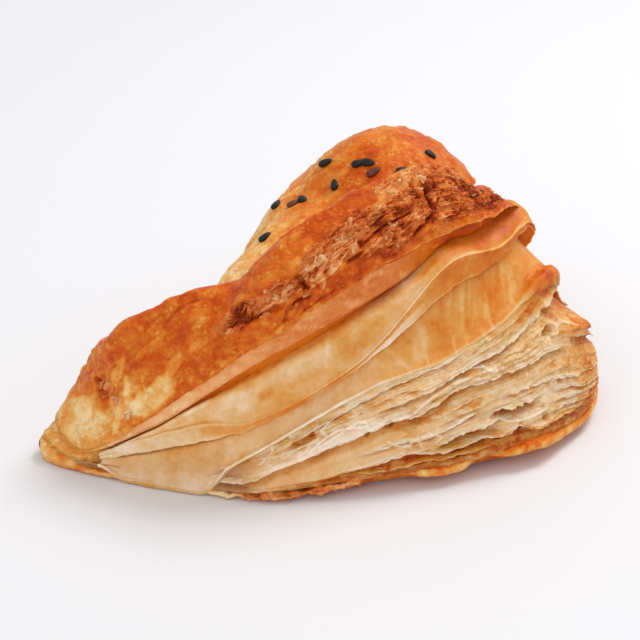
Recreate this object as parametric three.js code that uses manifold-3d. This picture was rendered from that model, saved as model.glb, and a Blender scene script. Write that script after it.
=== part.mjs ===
// A puff-pastry turnover with a seeded, egg-washed top, as one closed solid. Millimetres, +Z up.
//
// A square of laminated dough is folded corner to corner over a filling and baked. In plan it is a
// triangle: two cut legs meet at the square corner, and the folded side joins the two acute tips.
// Along the cut legs the layers rise and fan apart, most of all at the square corner, while the
// folded side stays smooth and closed. The origin is on the surface it stands on, under the middle
// of the turnover's box.
//
// The outside is one skin of rings. Each ring runs once round the plan outline, and the rings climb
// from the flat underside over the layer edges, the browned crust and its rim to the top of the dome.
import * as THREE from "three";
import { mergeVertices } from "three/addons/utils/BufferGeometryUtils.js";
import Module from "manifold-3d";

const COLUMNS = 138; // points on each ring
const MIDDLE = { x: 1.262, y: 58.435 }; // middle of the plan, in the outline's own coordinates
const DOME = { x: 15, y: 58, height: 58.2 }; // top of the filled middle
const DOME_FALL = 0.031; // the dome drops by this much times the squared distance from its top
const DOME_RINGS = [19, 13.5, 8, 3.5]; // distances from its top
const FLANK_STEPS = [0.3, 0.65]; // shares of the way from the dip up to the widest of those rings
const FLANK_CURVE = 1.7; // how much the dome's flank bows out on that way
const FLAT_INSET = 10; // from the base edge to the part of the underside that lies flat

const BASE_CRUST = 2.4; // thickness of the lowest, browned layer at its edge
const LAYER_GROOVES = 4; // between the base crust and the third layer
const LAYER_GROOVE_DEPTH = 2.6;
const LAYER_SWAY = 0.14; // how far an edge wanders up and down, as a share of a layer's height
const LAYER_RAGGEDNESS = 0.9; // how far an edge wanders in and out
const GROOVE_SHARE = 0.3; // of a layer's height that lies below its groove's bottom

const CRUST_INSET = { closed: 0.8, open: 18 }; // edge of the top crust, in from the base edge
const LIP_INSET = { closed: 0.3, open: 15 }; // edge of the layer below the top crust
const THIRD_INSET = { closed: 0, open: 9 }; // edge of the layer below that
const BEHIND_INSET = { crust: 2.5, lip: 5, third: 2 }; // more of each, just behind the square corner
const LAYER_CURVE = { leg: 1.8, corner: 3 }; // power by which the layered face leans in
const CORNER_UNDERCUT = { sheet: 6, layers: 3.5 }; // hollows below the lip and the third layer there
const FULL_GROOVES = { from: 1.5, to: 7 }; // height of the layered face at which grooves open up
const POCKET_DEPTH = { closed: 2.5, open: 10 }; // under the top crust
const POCKET_SINK = { leg: 2, corner: 0.8 }; // how far the open pocket's floor drops behind the lip
const SHEET_HOLLOW = 2.4; // how far the sheet between two main edges sinks in
// Steps up that sheet: shares of its rise, of its run inwards and of its hollow.
const SHEET_STEPS = [
  { rise: 0.12, run: 0.1, hollow: 0.7 },
  { rise: 0.5, run: 0.55, hollow: 1 },
  { rise: 0.88, run: 0.95, hollow: 1 },
];
// Steps from the lip round the pocket to its ceiling: shares of rise, run, the pocket's depth and
// its floor's drop.
const POCKET_STEPS = [
  { rise: 0.3, run: 0.3, depth: 0, sink: 0.5 },
  { rise: 0.75, run: 0.8, depth: 0.1, sink: 1 },
  { rise: 0.86, run: 1, depth: 1, sink: 0.3 },
  { rise: 1, run: 1, depth: 0.55, sink: 0 },
];
const UNDERSIDE = { rise: 0.35, inset: 0.6 }; // the crust's pale underside, between ceiling and edge
const CEILING_LIMIT = 0.62; // of the way from the crust's edge to the lip: no ceiling is lower

const CRUST_BULGE = 2.2; // how far the crust's face swells between its edge and its rim
const CRUST_STEPS = [0.12, 0.36, 0.66]; // shares of the way up that face
const FOLD_BULGE = 2; // how far the folded side's wall swells out
const TIP_STEP = 2.6; // how far the top crust stands back from the base crust at the acute tips
const BLISTER_HEIGHT = 0.7;

// Sesame seeds. Those on the dome's face toward -Y lie at set places: x, y and heading in degrees.
// The others are thrown on the rest of the dome.
const SEED = { length: 3.2, width: 1.9, thickness: 1.2, sunk: 0.35 };
const SET_SEEDS = [
  [1.3, 54.6, -5],
  [8.2, 49.4, 5],
  [10.3, 48.6, -25],
  [3.2, 47.6, 85],
  [-3.9, 49, 110],
  [-9.5, 52, 60],
  [-11.6, 36.6, 30],
  [8.7, 43.4, 10],
  [17.7, 46.1, 15],
  [23.8, 52.6, -20],
  [11.5, 46.4, 20],
  [-5.8, 48.1, 30],
];
const THROWN_SEEDS = 12;
const SEED_SPREAD = 26; // radius of the sown patch round the dome's top
const SEED_START = 13; // how far behind the dome's top that patch starts
const SEED_SPACING = 5;

// The plan outline, anticlockwise from the tip at -X. At each place: the point on the base edge, how
// far that edge lifts off the surface, how far the layers stand open (0 to 1), the heights of the
// third layer's edge and of the lip, how tall the lip's face is, the height of the crust's lower edge
// and of the pale strip under it, and inset and height of the rim's crest and of the dip behind it.
const place = (x, y, lift, open, third, lip, face, edge, strip, crestInset, crest, dipInset, dip) => ({
  x, y, lift, open, third, lip, face, edge, strip, crestInset, crest, dipInset, dip,
});
const PLACES = [
  place(-58.8, 17, 1.5, 0, 4.4, 5.6, 0.5, 8, 0.5, 15, 23, 41, 27), // first acute tip
  place(-50, 9.5, 0.3, 0, 3, 3.9, 0.5, 5, 0.8, 10, 29.5, 30, 29.5),
  place(-36, 4, 0, 0.02, 3.2, 10.9, 3.2, 15, 2.6, 12, 40, 27, 34), // first cut leg
  place(-25, 0.5, 0.1, 0.05, 3.4, 15.8, 4, 24.5, 3.4, 15, 43, 29, 38),
  place(-13, -2.5, 0, 0.12, 11, 18.2, 1.5, 34.1, 4, 17, 54, 31, 44),
  place(8, -0.5, 2, 0.42, 21.9, 28.5, 1.5, 45.7, 6.4, 20, 61, 33, 50),
  place(28, 5.5, 2, 0.68, 25.8, 44.4, 6, 50.5, 5, 22, 62.5, 32, 50),
  place(44, 13.5, 3.2, 0.87, 31.7, 44.6, 3.2, 50.5, 2.5, 25, 55, 34, 48),
  place(56, 26, 1.8, 1, 37.9, 46.3, 1.2, 48.5, 1, 27, 51, 33, 47), // square corner
  place(61.3, 40, 2.4, 0.95, 28.8, 34.8, 1.5, 36.5, 1, 26, 41, 31, 41),
  place(59, 60, 1.2, 0.8, 17.8, 24.3, 2, 29, 2, 20, 37.5, 26, 40), // second cut leg
  place(52, 85, 0.4, 0.55, 11.4, 15.5, 1.5, 22, 2.5, 18, 31, 27, 33),
  place(43, 107, 1, 0.25, 7.4, 9.3, 1, 15, 2, 15, 24, 26, 28),
  place(37, 120, 1.8, 0.08, 4.6, 5.8, 0.5, 8, 0.5, 12, 16, 25, 24), // second acute tip
  place(28, 116, 0.6, 0, 4.2, 5.5, 0.5, 9, 0.5, 6, 17, 18, 27),
  place(10, 100, 0, 0, 5, 6.4, 0.5, 12, 0.5, 3.5, 21, 11, 33), // folded side
  place(-12, 76, 0, 0, 5, 6.4, 0.5, 12, 0.5, 2.5, 22, 7, 34),
  place(-34, 50, 0, 0, 5, 6.4, 0.5, 12, 0.5, 5, 18, 14, 24.5),
  place(-52, 29, 0.4, 0, 4.2, 5.4, 0.5, 9, 0.5, 9, 13, 33, 23),
];
// How far the base crust's rim swings out along the first cut leg: places and millimetres.
const BASE_SWINGS = [
  [3.9, 0], [4.2, 1], [4.6, 0.6], [4.95, -0.2], [5.2, -1.7], [5.45, -0.8], [5.8, 1], [6.05, 0.7],
  [6.3, -1.4], [6.5, -0.8], [6.85, 1.6], [7.2, 1.9], [7.6, 0.3], [9, 0],
];
const FIRST_TIP = 0;
const CORNER = 8.5; // the square corner's middle, between two places
const SECOND_TIP = 13;
const LAST = PLACES.length;

// A small repeatable random generator, one for each use.
function randomFrom(seed) {
  let state = seed;
  return () => {
    state = (state + 0x6d2b79f5) | 0;
    let t = Math.imul(state ^ (state >>> 15), 1 | state);
    t = (t + Math.imul(t ^ (t >>> 7), 61 | t)) ^ t;
    return ((t ^ (t >>> 14)) >>> 0) / 4294967296;
  };
}

const mix = (range, t) => range.closed + (range.open - range.closed) * t;
const lerp = THREE.MathUtils.lerp;
const smoothstep = THREE.MathUtils.smoothstep;

// A closed smooth curve through values that are evenly spaced, read at t from 0 to values.length.
function loopCurve(values, t) {
  const count = values.length;
  const i = Math.floor(t);
  const f = t - i;
  const [a, b, c, d] = [-1, 0, 1, 2].map((k) => values[(((i + k) % count) + count) % count]);
  return b + 0.5 * f * (c - a + f * (2 * a - 5 * b + 4 * c - d + f * (3 * (b - c) + d - a)));
}

// Smooth random wandering round the outline, from -1 to 1, with about `count` swings.
function wander(seed, count) {
  const random = randomFrom(seed);
  const values = Array.from({ length: count }, () => 2 * random() - 1);
  return (turn) => loopCurve(values, turn * count);
}

// The swing of the base crust's rim at one place, eased from one listed place to the next.
function swingAt(t) {
  let swing = 0;
  for (let k = 0; k + 1 < BASE_SWINGS.length; k++) {
    const [from, here] = BASE_SWINGS[k];
    const [to, next] = BASE_SWINGS[k + 1];
    if (t >= from && t < to) swing = lerp(here, next, smoothstep(t, from, to));
  }
  return swing;
}

const COLUMN_NAMES = Object.keys(PLACES[0]);
const COLUMN_VALUES = Object.fromEntries(
  COLUMN_NAMES.map((name) => [name, PLACES.map((p) => p[name])]),
);

// The outline's data at one place, from interpolated columns.
function sectionAt(t) {
  const here = {};
  for (const name of COLUMN_NAMES) here[name] = loopCurve(COLUMN_VALUES[name], t);
  here.open = THREE.MathUtils.clamp(here.open, 0, 1);
  here.lift = Math.max(here.lift, 0);
  here.reach = Math.hypot(DOME.x - here.x, DOME.y - here.y);
  here.inX = (DOME.x - here.x) / here.reach;
  here.inY = (DOME.y - here.y) / here.reach;
  // 1 on the cut legs, 0 on the folded side, where no layer edge shows.
  here.cut =
    smoothstep(t, FIRST_TIP + 0.9, FIRST_TIP + 1.8) *
    (1 - smoothstep(t, SECOND_TIP - 0.2, SECOND_TIP + 0.8));
  // 1 in the middle of the folded side, and 1 at the acute tips.
  here.fold =
    smoothstep(t, SECOND_TIP + 0.5, SECOND_TIP + 2) * (1 - smoothstep(t, LAST - 2, LAST - 0.5));
  const toTip = Math.min(t - FIRST_TIP, LAST - t, Math.abs(t - SECOND_TIP));
  here.tip = 1 - smoothstep(toTip, 0, 1.3);
  here.corner = 1 - smoothstep(Math.abs(t - CORNER), 0.05, 1.15);
  here.behind = 1 - smoothstep(Math.abs(t - CORNER - 1.1), 0.4, 1.4);
  here.turn = t / PLACES.length;
  here.t = t;
  return here;
}

// Places round the outline that are an equal walk apart.
function evenPlaces() {
  const fine = 4000;
  const points = Array.from({ length: fine + 1 }, (_, i) => {
    const here = sectionAt((i / fine) * PLACES.length);
    return new THREE.Vector2(here.x, here.y);
  });
  const walked = [0];
  for (let i = 1; i <= fine; i++) walked.push(walked[i - 1] + points[i].distanceTo(points[i - 1]));
  const places = [];
  let i = 0;
  for (let k = 0; k < COLUMNS; k++) {
    const goal = (k / COLUMNS) * walked[fine];
    while (walked[i + 1] < goal) i++;
    const f = (goal - walked[i]) / (walked[i + 1] - walked[i]);
    places.push(((i + f) / fine) * PLACES.length);
  }
  return places;
}

const wanders = (length, seed, swings) => Array.from({ length }, (_, k) => wander(seed + k, swings));
const edgeWander = wanders(LAYER_GROOVES + 4, 11, 46);
const layerWander = wanders(LAYER_GROOVES, 31, 16);
const grooveWander = wanders(LAYER_GROOVES, 41, 16);
const blisterWander = wanders(CRUST_STEPS.length + FLANK_STEPS.length + 3, 51, 40);

const domeHeight = (away) => DOME.height - DOME_FALL * away * away;

// One upright section: insets and heights from the underside to the dome, all rings in order.
function sectionRows(here) {
  const rows = [];
  const add = (inset, height) => rows.push([inset, height]);
  const ragged = (k) => here.cut * LAYER_RAGGEDNESS * edgeWander[k](here.turn);

  // Underside and base crust.
  add(0.5 * here.reach, 0);
  add(FLAT_INSET, 0);
  const rim = 0.5 * ragged(0) - swingAt(here.t);
  add(0.7 + rim, here.lift);
  add(rim - 0.2, here.lift + 0.55 * BASE_CRUST);

  // Thin layers up to the third layer's edge, each a groove and an edge.
  const low = here.lift + BASE_CRUST;
  const thirdHeight = Math.max(here.third, low + 0.3);
  const thirdInset = mix(THIRD_INSET, here.open) + BEHIND_INSET.third * here.behind;
  const curve = lerp(LAYER_CURVE.leg, LAYER_CURVE.corner, here.corner);
  const grooved = smoothstep(thirdHeight - low, FULL_GROOVES.from, FULL_GROOVES.to);
  const sway = (k) => LAYER_SWAY * here.cut * layerWander[k](here.turn);
  for (let k = 0; k < LAYER_GROOVES; k++) {
    const last = k === LAYER_GROOVES - 1;
    const bottom = (k + (k === 0 ? 0 : sway(k - 1))) / LAYER_GROOVES;
    const top = (k + 1 + (last ? 0 : sway(k))) / LAYER_GROOVES;
    const seam = lerp(bottom, top, GROOVE_SHARE);
    const undercut = last ? CORNER_UNDERCUT.layers * here.corner : 0;
    const groove = grooved * LAYER_GROOVE_DEPTH * (0.75 + 0.25 * grooveWander[k](here.turn)) + undercut;
    add(thirdInset * seam ** curve + here.cut * groove, lerp(low, thirdHeight, seam));
    add(
      thirdInset * top ** curve + grooved * ragged(last ? 1 : 4 + k),
      lerp(low, thirdHeight, top),
    );
  }

  // The hollow sheet up to the next layer's lip, and the lip's face.
  const lipInset = mix(LIP_INSET, here.open) + BEHIND_INSET.lip * here.behind + ragged(2);
  const lipFoot = here.lip - here.face;
  const overhang = CORNER_UNDERCUT.sheet * here.corner;
  for (const { rise, run, hollow } of SHEET_STEPS) {
    add(
      lerp(thirdInset, lipInset, run) + here.cut * SHEET_HOLLOW * hollow + overhang * rise,
      lerp(thirdHeight, lipFoot, rise),
    );
  }
  add(lipInset + 0.3 * here.cut + 0.3 * overhang, lipFoot);
  add(lipInset, here.lip);

  // The pocket under the top crust, with the crust's pale underside as its ceiling.
  const setIn = BEHIND_INSET.crust * here.behind + TIP_STEP * here.tip;
  const crustInset = mix(CRUST_INSET, here.open) + setIn + 0.7 * ragged(3);
  const ceiling = Math.max(here.edge - here.strip, lerp(here.edge, here.lip, CEILING_LIMIT));
  const pocketDepth = here.cut * mix(POCKET_DEPTH, here.open ** 2) + 0.5 * here.tip;
  const sunk = lerp(POCKET_SINK.leg, POCKET_SINK.corner, here.corner);
  const floorDrop = sunk * here.cut * here.open ** 2;
  for (const { rise, run, depth, sink } of POCKET_STEPS) {
    add(
      lerp(lipInset, crustInset, run) + pocketDepth * depth,
      lerp(here.lip, ceiling, rise) - floorDrop * sink,
    );
  }
  add(crustInset + UNDERSIDE.inset * here.cut, lerp(ceiling, here.edge, UNDERSIDE.rise));
  add(crustInset, here.edge);

  // The browned crust up to its crest, then down into the dip and up the dome.
  const firstCrustRow = rows.length;
  for (const t of CRUST_STEPS) {
    const swell = CRUST_BULGE * Math.sin(Math.PI * t) * here.cut;
    add(
      lerp(crustInset, here.crestInset, t - 0.2 * t * (1 - t)) - 0.7 * swell,
      lerp(here.edge, here.crest, t ** 0.85) + 0.5 * swell,
    );
  }
  add(here.crestInset, here.crest);
  add(lerp(here.crestInset, here.dipInset, 0.5), lerp(here.crest, here.dip, 0.42));
  add(here.dipInset, here.dip);
  const capInset = here.reach - DOME_RINGS[0];
  const capHeight = domeHeight(DOME_RINGS[0]);
  for (const t of FLANK_STEPS) {
    const climbed = 1 - (1 - t) ** FLANK_CURVE;
    add(lerp(here.dipInset, capInset, t), lerp(here.dip, capHeight, climbed));
  }
  for (const row of rows) {
    const climbed = Math.min(row[1] / here.crest, 1);
    row[0] -= here.fold * FOLD_BULGE * Math.sin(Math.PI * climbed);
  }
  for (let k = firstCrustRow; k < rows.length; k++) {
    rows[k][1] += BLISTER_HEIGHT * blisterWander[k - firstCrustRow](here.turn);
  }
  for (const away of DOME_RINGS) add(here.reach - away, domeHeight(away));
  return rows;
}

// Rings of points joined by triangles, closed by a fan at the underside and one at the dome.
function crustedSkin() {
  const sections = evenPlaces().map((t) => sectionAt(t));
  const columns = sections.map((here) =>
    sectionRows(here).map(([inset, height]) => [
      here.x + here.inX * inset,
      here.y + here.inY * inset,
      height,
    ]),
  );
  const ringCount = columns[0].length;
  const positions = columns.flat(2);
  const foot = columns.length * ringCount;
  const top = foot + 1;
  positions.push(DOME.x, DOME.y, 0, DOME.x, DOME.y, DOME.height);
  const index = [];
  for (let c = 0; c < COLUMNS; c++) {
    const here = c * ringCount;
    const next = ((c + 1) % COLUMNS) * ringCount;
    index.push(foot, next, here);
    for (let r = 0; r + 1 < ringCount; r++) {
      index.push(here + r, next + r, next + r + 1, here + r, next + r + 1, here + r + 1);
    }
    index.push(here + ringCount - 1, next + ringCount - 1, top);
  }
  const skin = new THREE.BufferGeometry();
  skin.setAttribute("position", new THREE.Float32BufferAttribute(positions, 3));
  skin.setIndex(index);
  return skin;
}

// A flattened drop of few sides, narrower at one end, lying along X.
function seedShape() {
  const shape = new THREE.SphereGeometry(1, 6, 3);
  const position = shape.getAttribute("position");
  for (let i = 0; i < position.count; i++) {
    const along = position.getY(i);
    const girth = 1 - 0.25 * along;
    position.setXYZ(
      i,
      0.5 * SEED.length * along,
      -0.5 * SEED.width * girth * position.getX(i),
      0.5 * SEED.thickness * girth * position.getZ(i),
    );
  }
  return shape;
}

// Seeds on the dome, each lying on the skin and a little sunk in it.
function seedsOn(skin) {
  const random = randomFrom(5);
  const body = new THREE.Mesh(skin, new THREE.MeshBasicMaterial());
  const ray = new THREE.Raycaster();
  const up = new THREE.Vector3(0, 0, 1);
  const down = new THREE.Vector3(0, 0, -1);
  const sown = [];
  const seeds = [];
  const sow = (x, y, heading) => {
    ray.set(new THREE.Vector3(x, y, 2 * DOME.height), down);
    const { point, face } = ray.intersectObject(body)[0];
    const lie = new THREE.Quaternion().setFromUnitVectors(up, face.normal);
    lie.multiply(new THREE.Quaternion().setFromAxisAngle(up, heading));
    const centre = point.clone().addScaledVector(face.normal, 0.5 * SEED.thickness - SEED.sunk);
    const asMade = new THREE.Vector3(1, 1, 1);
    seeds.push(seedShape().applyMatrix4(new THREE.Matrix4().compose(centre, lie, asMade)));
    sown.push(new THREE.Vector2(x, y));
  };
  for (const [x, y, heading] of SET_SEEDS) sow(x, y, THREE.MathUtils.degToRad(heading));
  while (sown.length < SET_SEEDS.length + THROWN_SEEDS) {
    const angle = 2 * Math.PI * random();
    const away = SEED_SPREAD * Math.sqrt(random());
    const heading = 2 * Math.PI * random();
    const spot = new THREE.Vector2(DOME.x + away * Math.cos(angle), DOME.y + away * Math.sin(angle));
    const free = sown.every((other) => other.distanceTo(spot) > SEED_SPACING);
    if (free && spot.y > DOME.y + SEED_START) sow(spot.x, spot.y, heading);
  }
  return seeds;
}

const wasm = await Module();
wasm.setup();

function solid(geometry) {
  const bare = geometry.clone();
  bare.deleteAttribute("normal");
  bare.deleteAttribute("uv");
  const merged = mergeVertices(bare, 1e-3);
  return new wasm.Manifold(
    new wasm.Mesh({
      numProp: 3,
      vertProperties: merged.attributes.position.array,
      triVerts: new Uint32Array(merged.index.array),
    }),
  );
}

function geometryOf(manifold) {
  const mesh = manifold.getMesh();
  const geometry = new THREE.BufferGeometry();
  geometry.setAttribute("position", new THREE.BufferAttribute(mesh.vertProperties, 3));
  geometry.setIndex(new THREE.BufferAttribute(mesh.triVerts, 1));
  geometry.computeVertexNormals();
  return geometry;
}

const skin = crustedSkin();
let body = solid(skin);
for (const seed of seedsOn(skin)) body = body.add(solid(seed));

const pastry = new THREE.Mesh(
  geometryOf(body),
  new THREE.MeshStandardMaterial({ color: 0xd08a3c, roughness: 0.6, metalness: 0 }),
);
pastry.name = "pastry";
pastry.position.set(-MIDDLE.x, -MIDDLE.y, 0);

const turnover = new THREE.Group();
turnover.add(pastry);

export default turnover;
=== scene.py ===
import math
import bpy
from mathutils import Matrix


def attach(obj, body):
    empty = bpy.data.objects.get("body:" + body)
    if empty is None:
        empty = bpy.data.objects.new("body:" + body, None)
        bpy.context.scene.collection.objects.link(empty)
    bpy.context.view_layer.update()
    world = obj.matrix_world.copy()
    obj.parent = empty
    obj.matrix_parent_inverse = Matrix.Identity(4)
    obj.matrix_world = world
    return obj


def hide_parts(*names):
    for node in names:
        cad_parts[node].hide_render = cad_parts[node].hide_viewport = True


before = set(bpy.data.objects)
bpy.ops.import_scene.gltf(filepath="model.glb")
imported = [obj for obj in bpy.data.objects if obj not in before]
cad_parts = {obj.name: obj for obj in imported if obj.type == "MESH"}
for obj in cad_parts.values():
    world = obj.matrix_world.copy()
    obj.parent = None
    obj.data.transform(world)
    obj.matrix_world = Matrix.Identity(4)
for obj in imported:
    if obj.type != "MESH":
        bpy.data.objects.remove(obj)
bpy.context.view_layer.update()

# A puff-pastry turnover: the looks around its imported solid. Lengths are in millimetres in the
# outline's own coordinates until a mesh is made, and in metres in the row frame after that.
from types import SimpleNamespace

import bpy
import numpy as np
from mathutils import Matrix, Vector
from mathutils.bvhtree import BVHTree

# ---------------------------------------------------------------- sizes shared with the solid
MIDDLE = np.array([1.262, 58.435, 0.0])
DOME = SimpleNamespace(x=15.0, y=58.0, height=58.2)
DOME_FALL = 0.031
DOME_RINGS = (19.0, 13.5, 8.0, 3.5)
FLANK_CURVE = 1.7
FLAT_INSET = 10.0
BASE_CRUST = 2.4
CRUST_INSET = (0.8, 18.0)
LIP_INSET = (0.3, 15.0)
THIRD_INSET = (0.0, 9.0)
BEHIND_INSET = {"crust": 2.5, "lip": 5.0, "third": 2.0}  # more, just behind the square corner
LAYER_CURVE = (1.8, 3.0)  # how much the layered face bows out, along the legs and at the corner
CORNER_UNDERCUT = {"sheet": 6.0, "layers": 3.5}  # hollows under the lip and under the third layer
POCKET_DEPTH = (2.5, 10.0)
CRUST_BULGE = 2.2
FOLD_BULGE = 2.0
TIP_STEP = 2.6
CEILING_LIMIT = 0.62
COLUMN_NAMES = ("x", "y", "lift", "open", "third", "lip", "face", "edge", "band",
                "crest_inset", "crest", "dip_inset", "dip")
PLACES = np.array([
    (-58.8, 17, 1.5, 0, 4.4, 5.6, 0.5, 8, 0.5, 15, 23, 41, 27),  # first acute tip
    (-50, 9.5, 0.3, 0, 3, 3.9, 0.5, 5, 0.8, 10, 29.5, 30, 29.5),
    (-36, 4, 0, 0.02, 3.2, 10.9, 3.2, 15, 2.6, 12, 40, 27, 34),  # first cut leg
    (-25, 0.5, 0.1, 0.05, 3.4, 15.8, 4, 24.5, 3.4, 15, 43, 29, 38),
    (-13, -2.5, 0, 0.12, 11, 18.2, 1.5, 34.1, 4, 17, 54, 31, 44),
    (8, -0.5, 2, 0.42, 21.9, 28.5, 1.5, 45.7, 6.4, 20, 61, 33, 50),
    (28, 5.5, 2, 0.68, 25.8, 44.4, 6, 50.5, 5, 22, 62.5, 32, 50),
    (44, 13.5, 3.2, 0.87, 31.7, 44.6, 3.2, 50.5, 2.5, 25, 55, 34, 48),
    (56, 26, 1.8, 1, 37.9, 46.3, 1.2, 48.5, 1, 27, 51, 33, 47),  # square corner
    (61.3, 40, 2.4, 0.95, 28.8, 34.8, 1.5, 36.5, 1, 26, 41, 31, 41),
    (59, 60, 1.2, 0.8, 17.8, 24.3, 2, 29, 2, 20, 37.5, 26, 40),  # second cut leg
    (52, 85, 0.4, 0.55, 11.4, 15.5, 1.5, 22, 2.5, 18, 31, 27, 33),
    (43, 107, 1, 0.25, 7.4, 9.3, 1, 15, 2, 15, 24, 26, 28),
    (37, 120, 1.8, 0.08, 4.6, 5.8, 0.5, 8, 0.5, 12, 16, 25, 24),  # second acute tip
    (28, 116, 0.6, 0, 4.2, 5.5, 0.5, 9, 0.5, 6, 17, 18, 27),
    (10, 100, 0, 0, 5, 6.4, 0.5, 12, 0.5, 3.5, 21, 11, 33),  # folded side
    (-12, 76, 0, 0, 5, 6.4, 0.5, 12, 0.5, 2.5, 22, 7, 34),
    (-34, 50, 0, 0, 5, 6.4, 0.5, 12, 0.5, 5, 18, 14, 24.5),
    (-52, 29, 0.4, 0, 4.2, 5.4, 0.5, 9, 0.5, 9, 13, 33, 23),
], float)
FIRST_TIP = 0
SECOND_TIP = 13
LAST = len(PLACES)

SEED = SimpleNamespace(length=3.2, width=1.9, thickness=1.2, sunk=0.35)
SET_SEEDS = [
    (1.3, 54.6, -5), (8.2, 49.4, 5), (10.3, 48.6, -25), (3.2, 47.6, 85), (-3.9, 49, 110),
    (-9.5, 52, 60), (-11.6, 36.6, 30), (8.7, 43.4, 10), (17.7, 46.1, 15), (23.8, 52.6, -20),
]
BROWN_SEEDS = [(11.5, 46.4, 20), (-5.8, 48.1, 30)]
THROWN_SEEDS = 12
SEED_SPREAD = 26.0
SEED_START = 13.0
SEED_SPACING = 5.0

# How many points the pieces have along the outline, and some of them across it.
CRUST_COLUMNS = 660
SHEET_COLUMNS = 560
BASE_COLUMNS = 720
WALL_COLUMNS = 760
WALL_ROWS = 126
FRINGE_COLUMNS = 620
SEED_COLUMNS = 20
SEED_ROWS = 13

# ---------------------------------------------------------------- small mathematics


def lerp(a, b, t):
    return a + (b - a) * t


def step(value, low, high):
    """Smooth climb from 0 at low to 1 at high."""
    t = np.clip((value - low) / (high - low), 0, 1)
    return t * t * (3 - 2 * t)


def fall(value, low, high):
    """Smooth fall from 1 at low to 0 at high."""
    return 1 - step(value, low, high)


def hump(value, low, high, soft):
    """1 between low and high, with soft sides."""
    return step(value, low - soft, low + soft) * fall(value, high - soft, high + soft)


def bell(value, width):
    return np.exp(-(value / width) ** 2)


def triples(a, b, c):
    """Points with the coordinates a, b and c, which may be grids, rows, columns or numbers."""
    return np.stack(np.broadcast_arrays(a, b, c), -1)


def loop_curve(values, t):
    """A closed smooth curve through evenly spaced values."""
    count = len(values)
    i = np.floor(t).astype(int)
    f = t - i
    a, b, c, d = (values[(i + k) % count] for k in (-1, 0, 1, 2))
    return b + 0.5 * f * (c - a + f * (2 * a - 5 * b + 4 * c - d + f * (3 * (b - c) + d - a)))


def scatter(ix, iy, iz, seed):
    """A repeatable random number from 0 to 1 for each lattice point."""
    h = (ix * 374761393 + iy * 668265263 + iz * 2147483647 + seed * 974634777) & 0xFFFFFFFF
    h = ((h ^ (h >> 13)) * 1274126177) & 0xFFFFFFFF
    h = ((h ^ (h >> 15)) * 2246822519) & 0xFFFFFFFF
    return ((h ^ (h >> 16)) & 0xFFFFFF) / 16777215.0


def noise(p, size, seed):
    """Smooth noise from -1 to 1 with swells about `size` wide; seeds tell noises apart."""
    q = p / size
    i = np.floor(q).astype(np.int64)
    f = q - i
    f = f * f * f * (f * (f * 6 - 15) + 10)
    total = np.zeros(p.shape[:-1])
    for corner in range(8):
        o = [(corner >> k) & 1 for k in range(3)]
        weight = np.ones(p.shape[:-1])
        for k in range(3):
            weight = weight * (f[..., k] if o[k] else 1 - f[..., k])
        total += weight * scatter(i[..., 0] + o[0], i[..., 1] + o[1], i[..., 2] + o[2], seed)
    return 2 * total - 1


def mean_of_octaves(layer, count, rough=0.5):
    """The mean of layers 0, 1 and so on, each weaker by `rough` than the one before."""
    weights = [rough ** k for k in range(count)]
    return sum(weight * layer(k) for k, weight in enumerate(weights)) / sum(weights)


def fbm(p, size, seed, octaves=4, rough=0.5):
    """Noise with finer noise on it."""
    return mean_of_octaves(lambda k: noise(p + 17.3 * k, size / 2 ** k, seed + 7 * k), octaves, rough)


def ridges(p, size, seed, octaves=3):
    """Sharp crests from 0 to 1."""
    return mean_of_octaves(lambda k: 1 - np.abs(noise(p + 9.1 * k, size / 2 ** k, seed + 5 * k)), octaves)


def cell_distance(p, size, seed):
    """Distance to the nearest of scattered points, as a share of size."""
    q = p / size
    i = np.floor(q).astype(np.int64)
    near = np.full(p.shape[:-1], 9.0)
    for neighbour in np.ndindex(3, 3, 3):
        j = i + np.array(neighbour) - 1
        centre = [j[..., k] + scatter(j[..., 0], j[..., 1], j[..., 2], seed + k) for k in range(3)]
        near = np.minimum(near, np.sqrt(sum((centre[k] - q[..., k]) ** 2 for k in range(3))))
    return near


def line_noise(t, swings, seed, octaves=1):
    """Noise along the outline: about `swings` swings for each place of the outline."""
    return fbm(triples(t * swings, 3.7 * seed, 1.3), 1.0, seed, octaves, 0.55)


# ---------------------------------------------------------------- the form's upright sections


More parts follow.
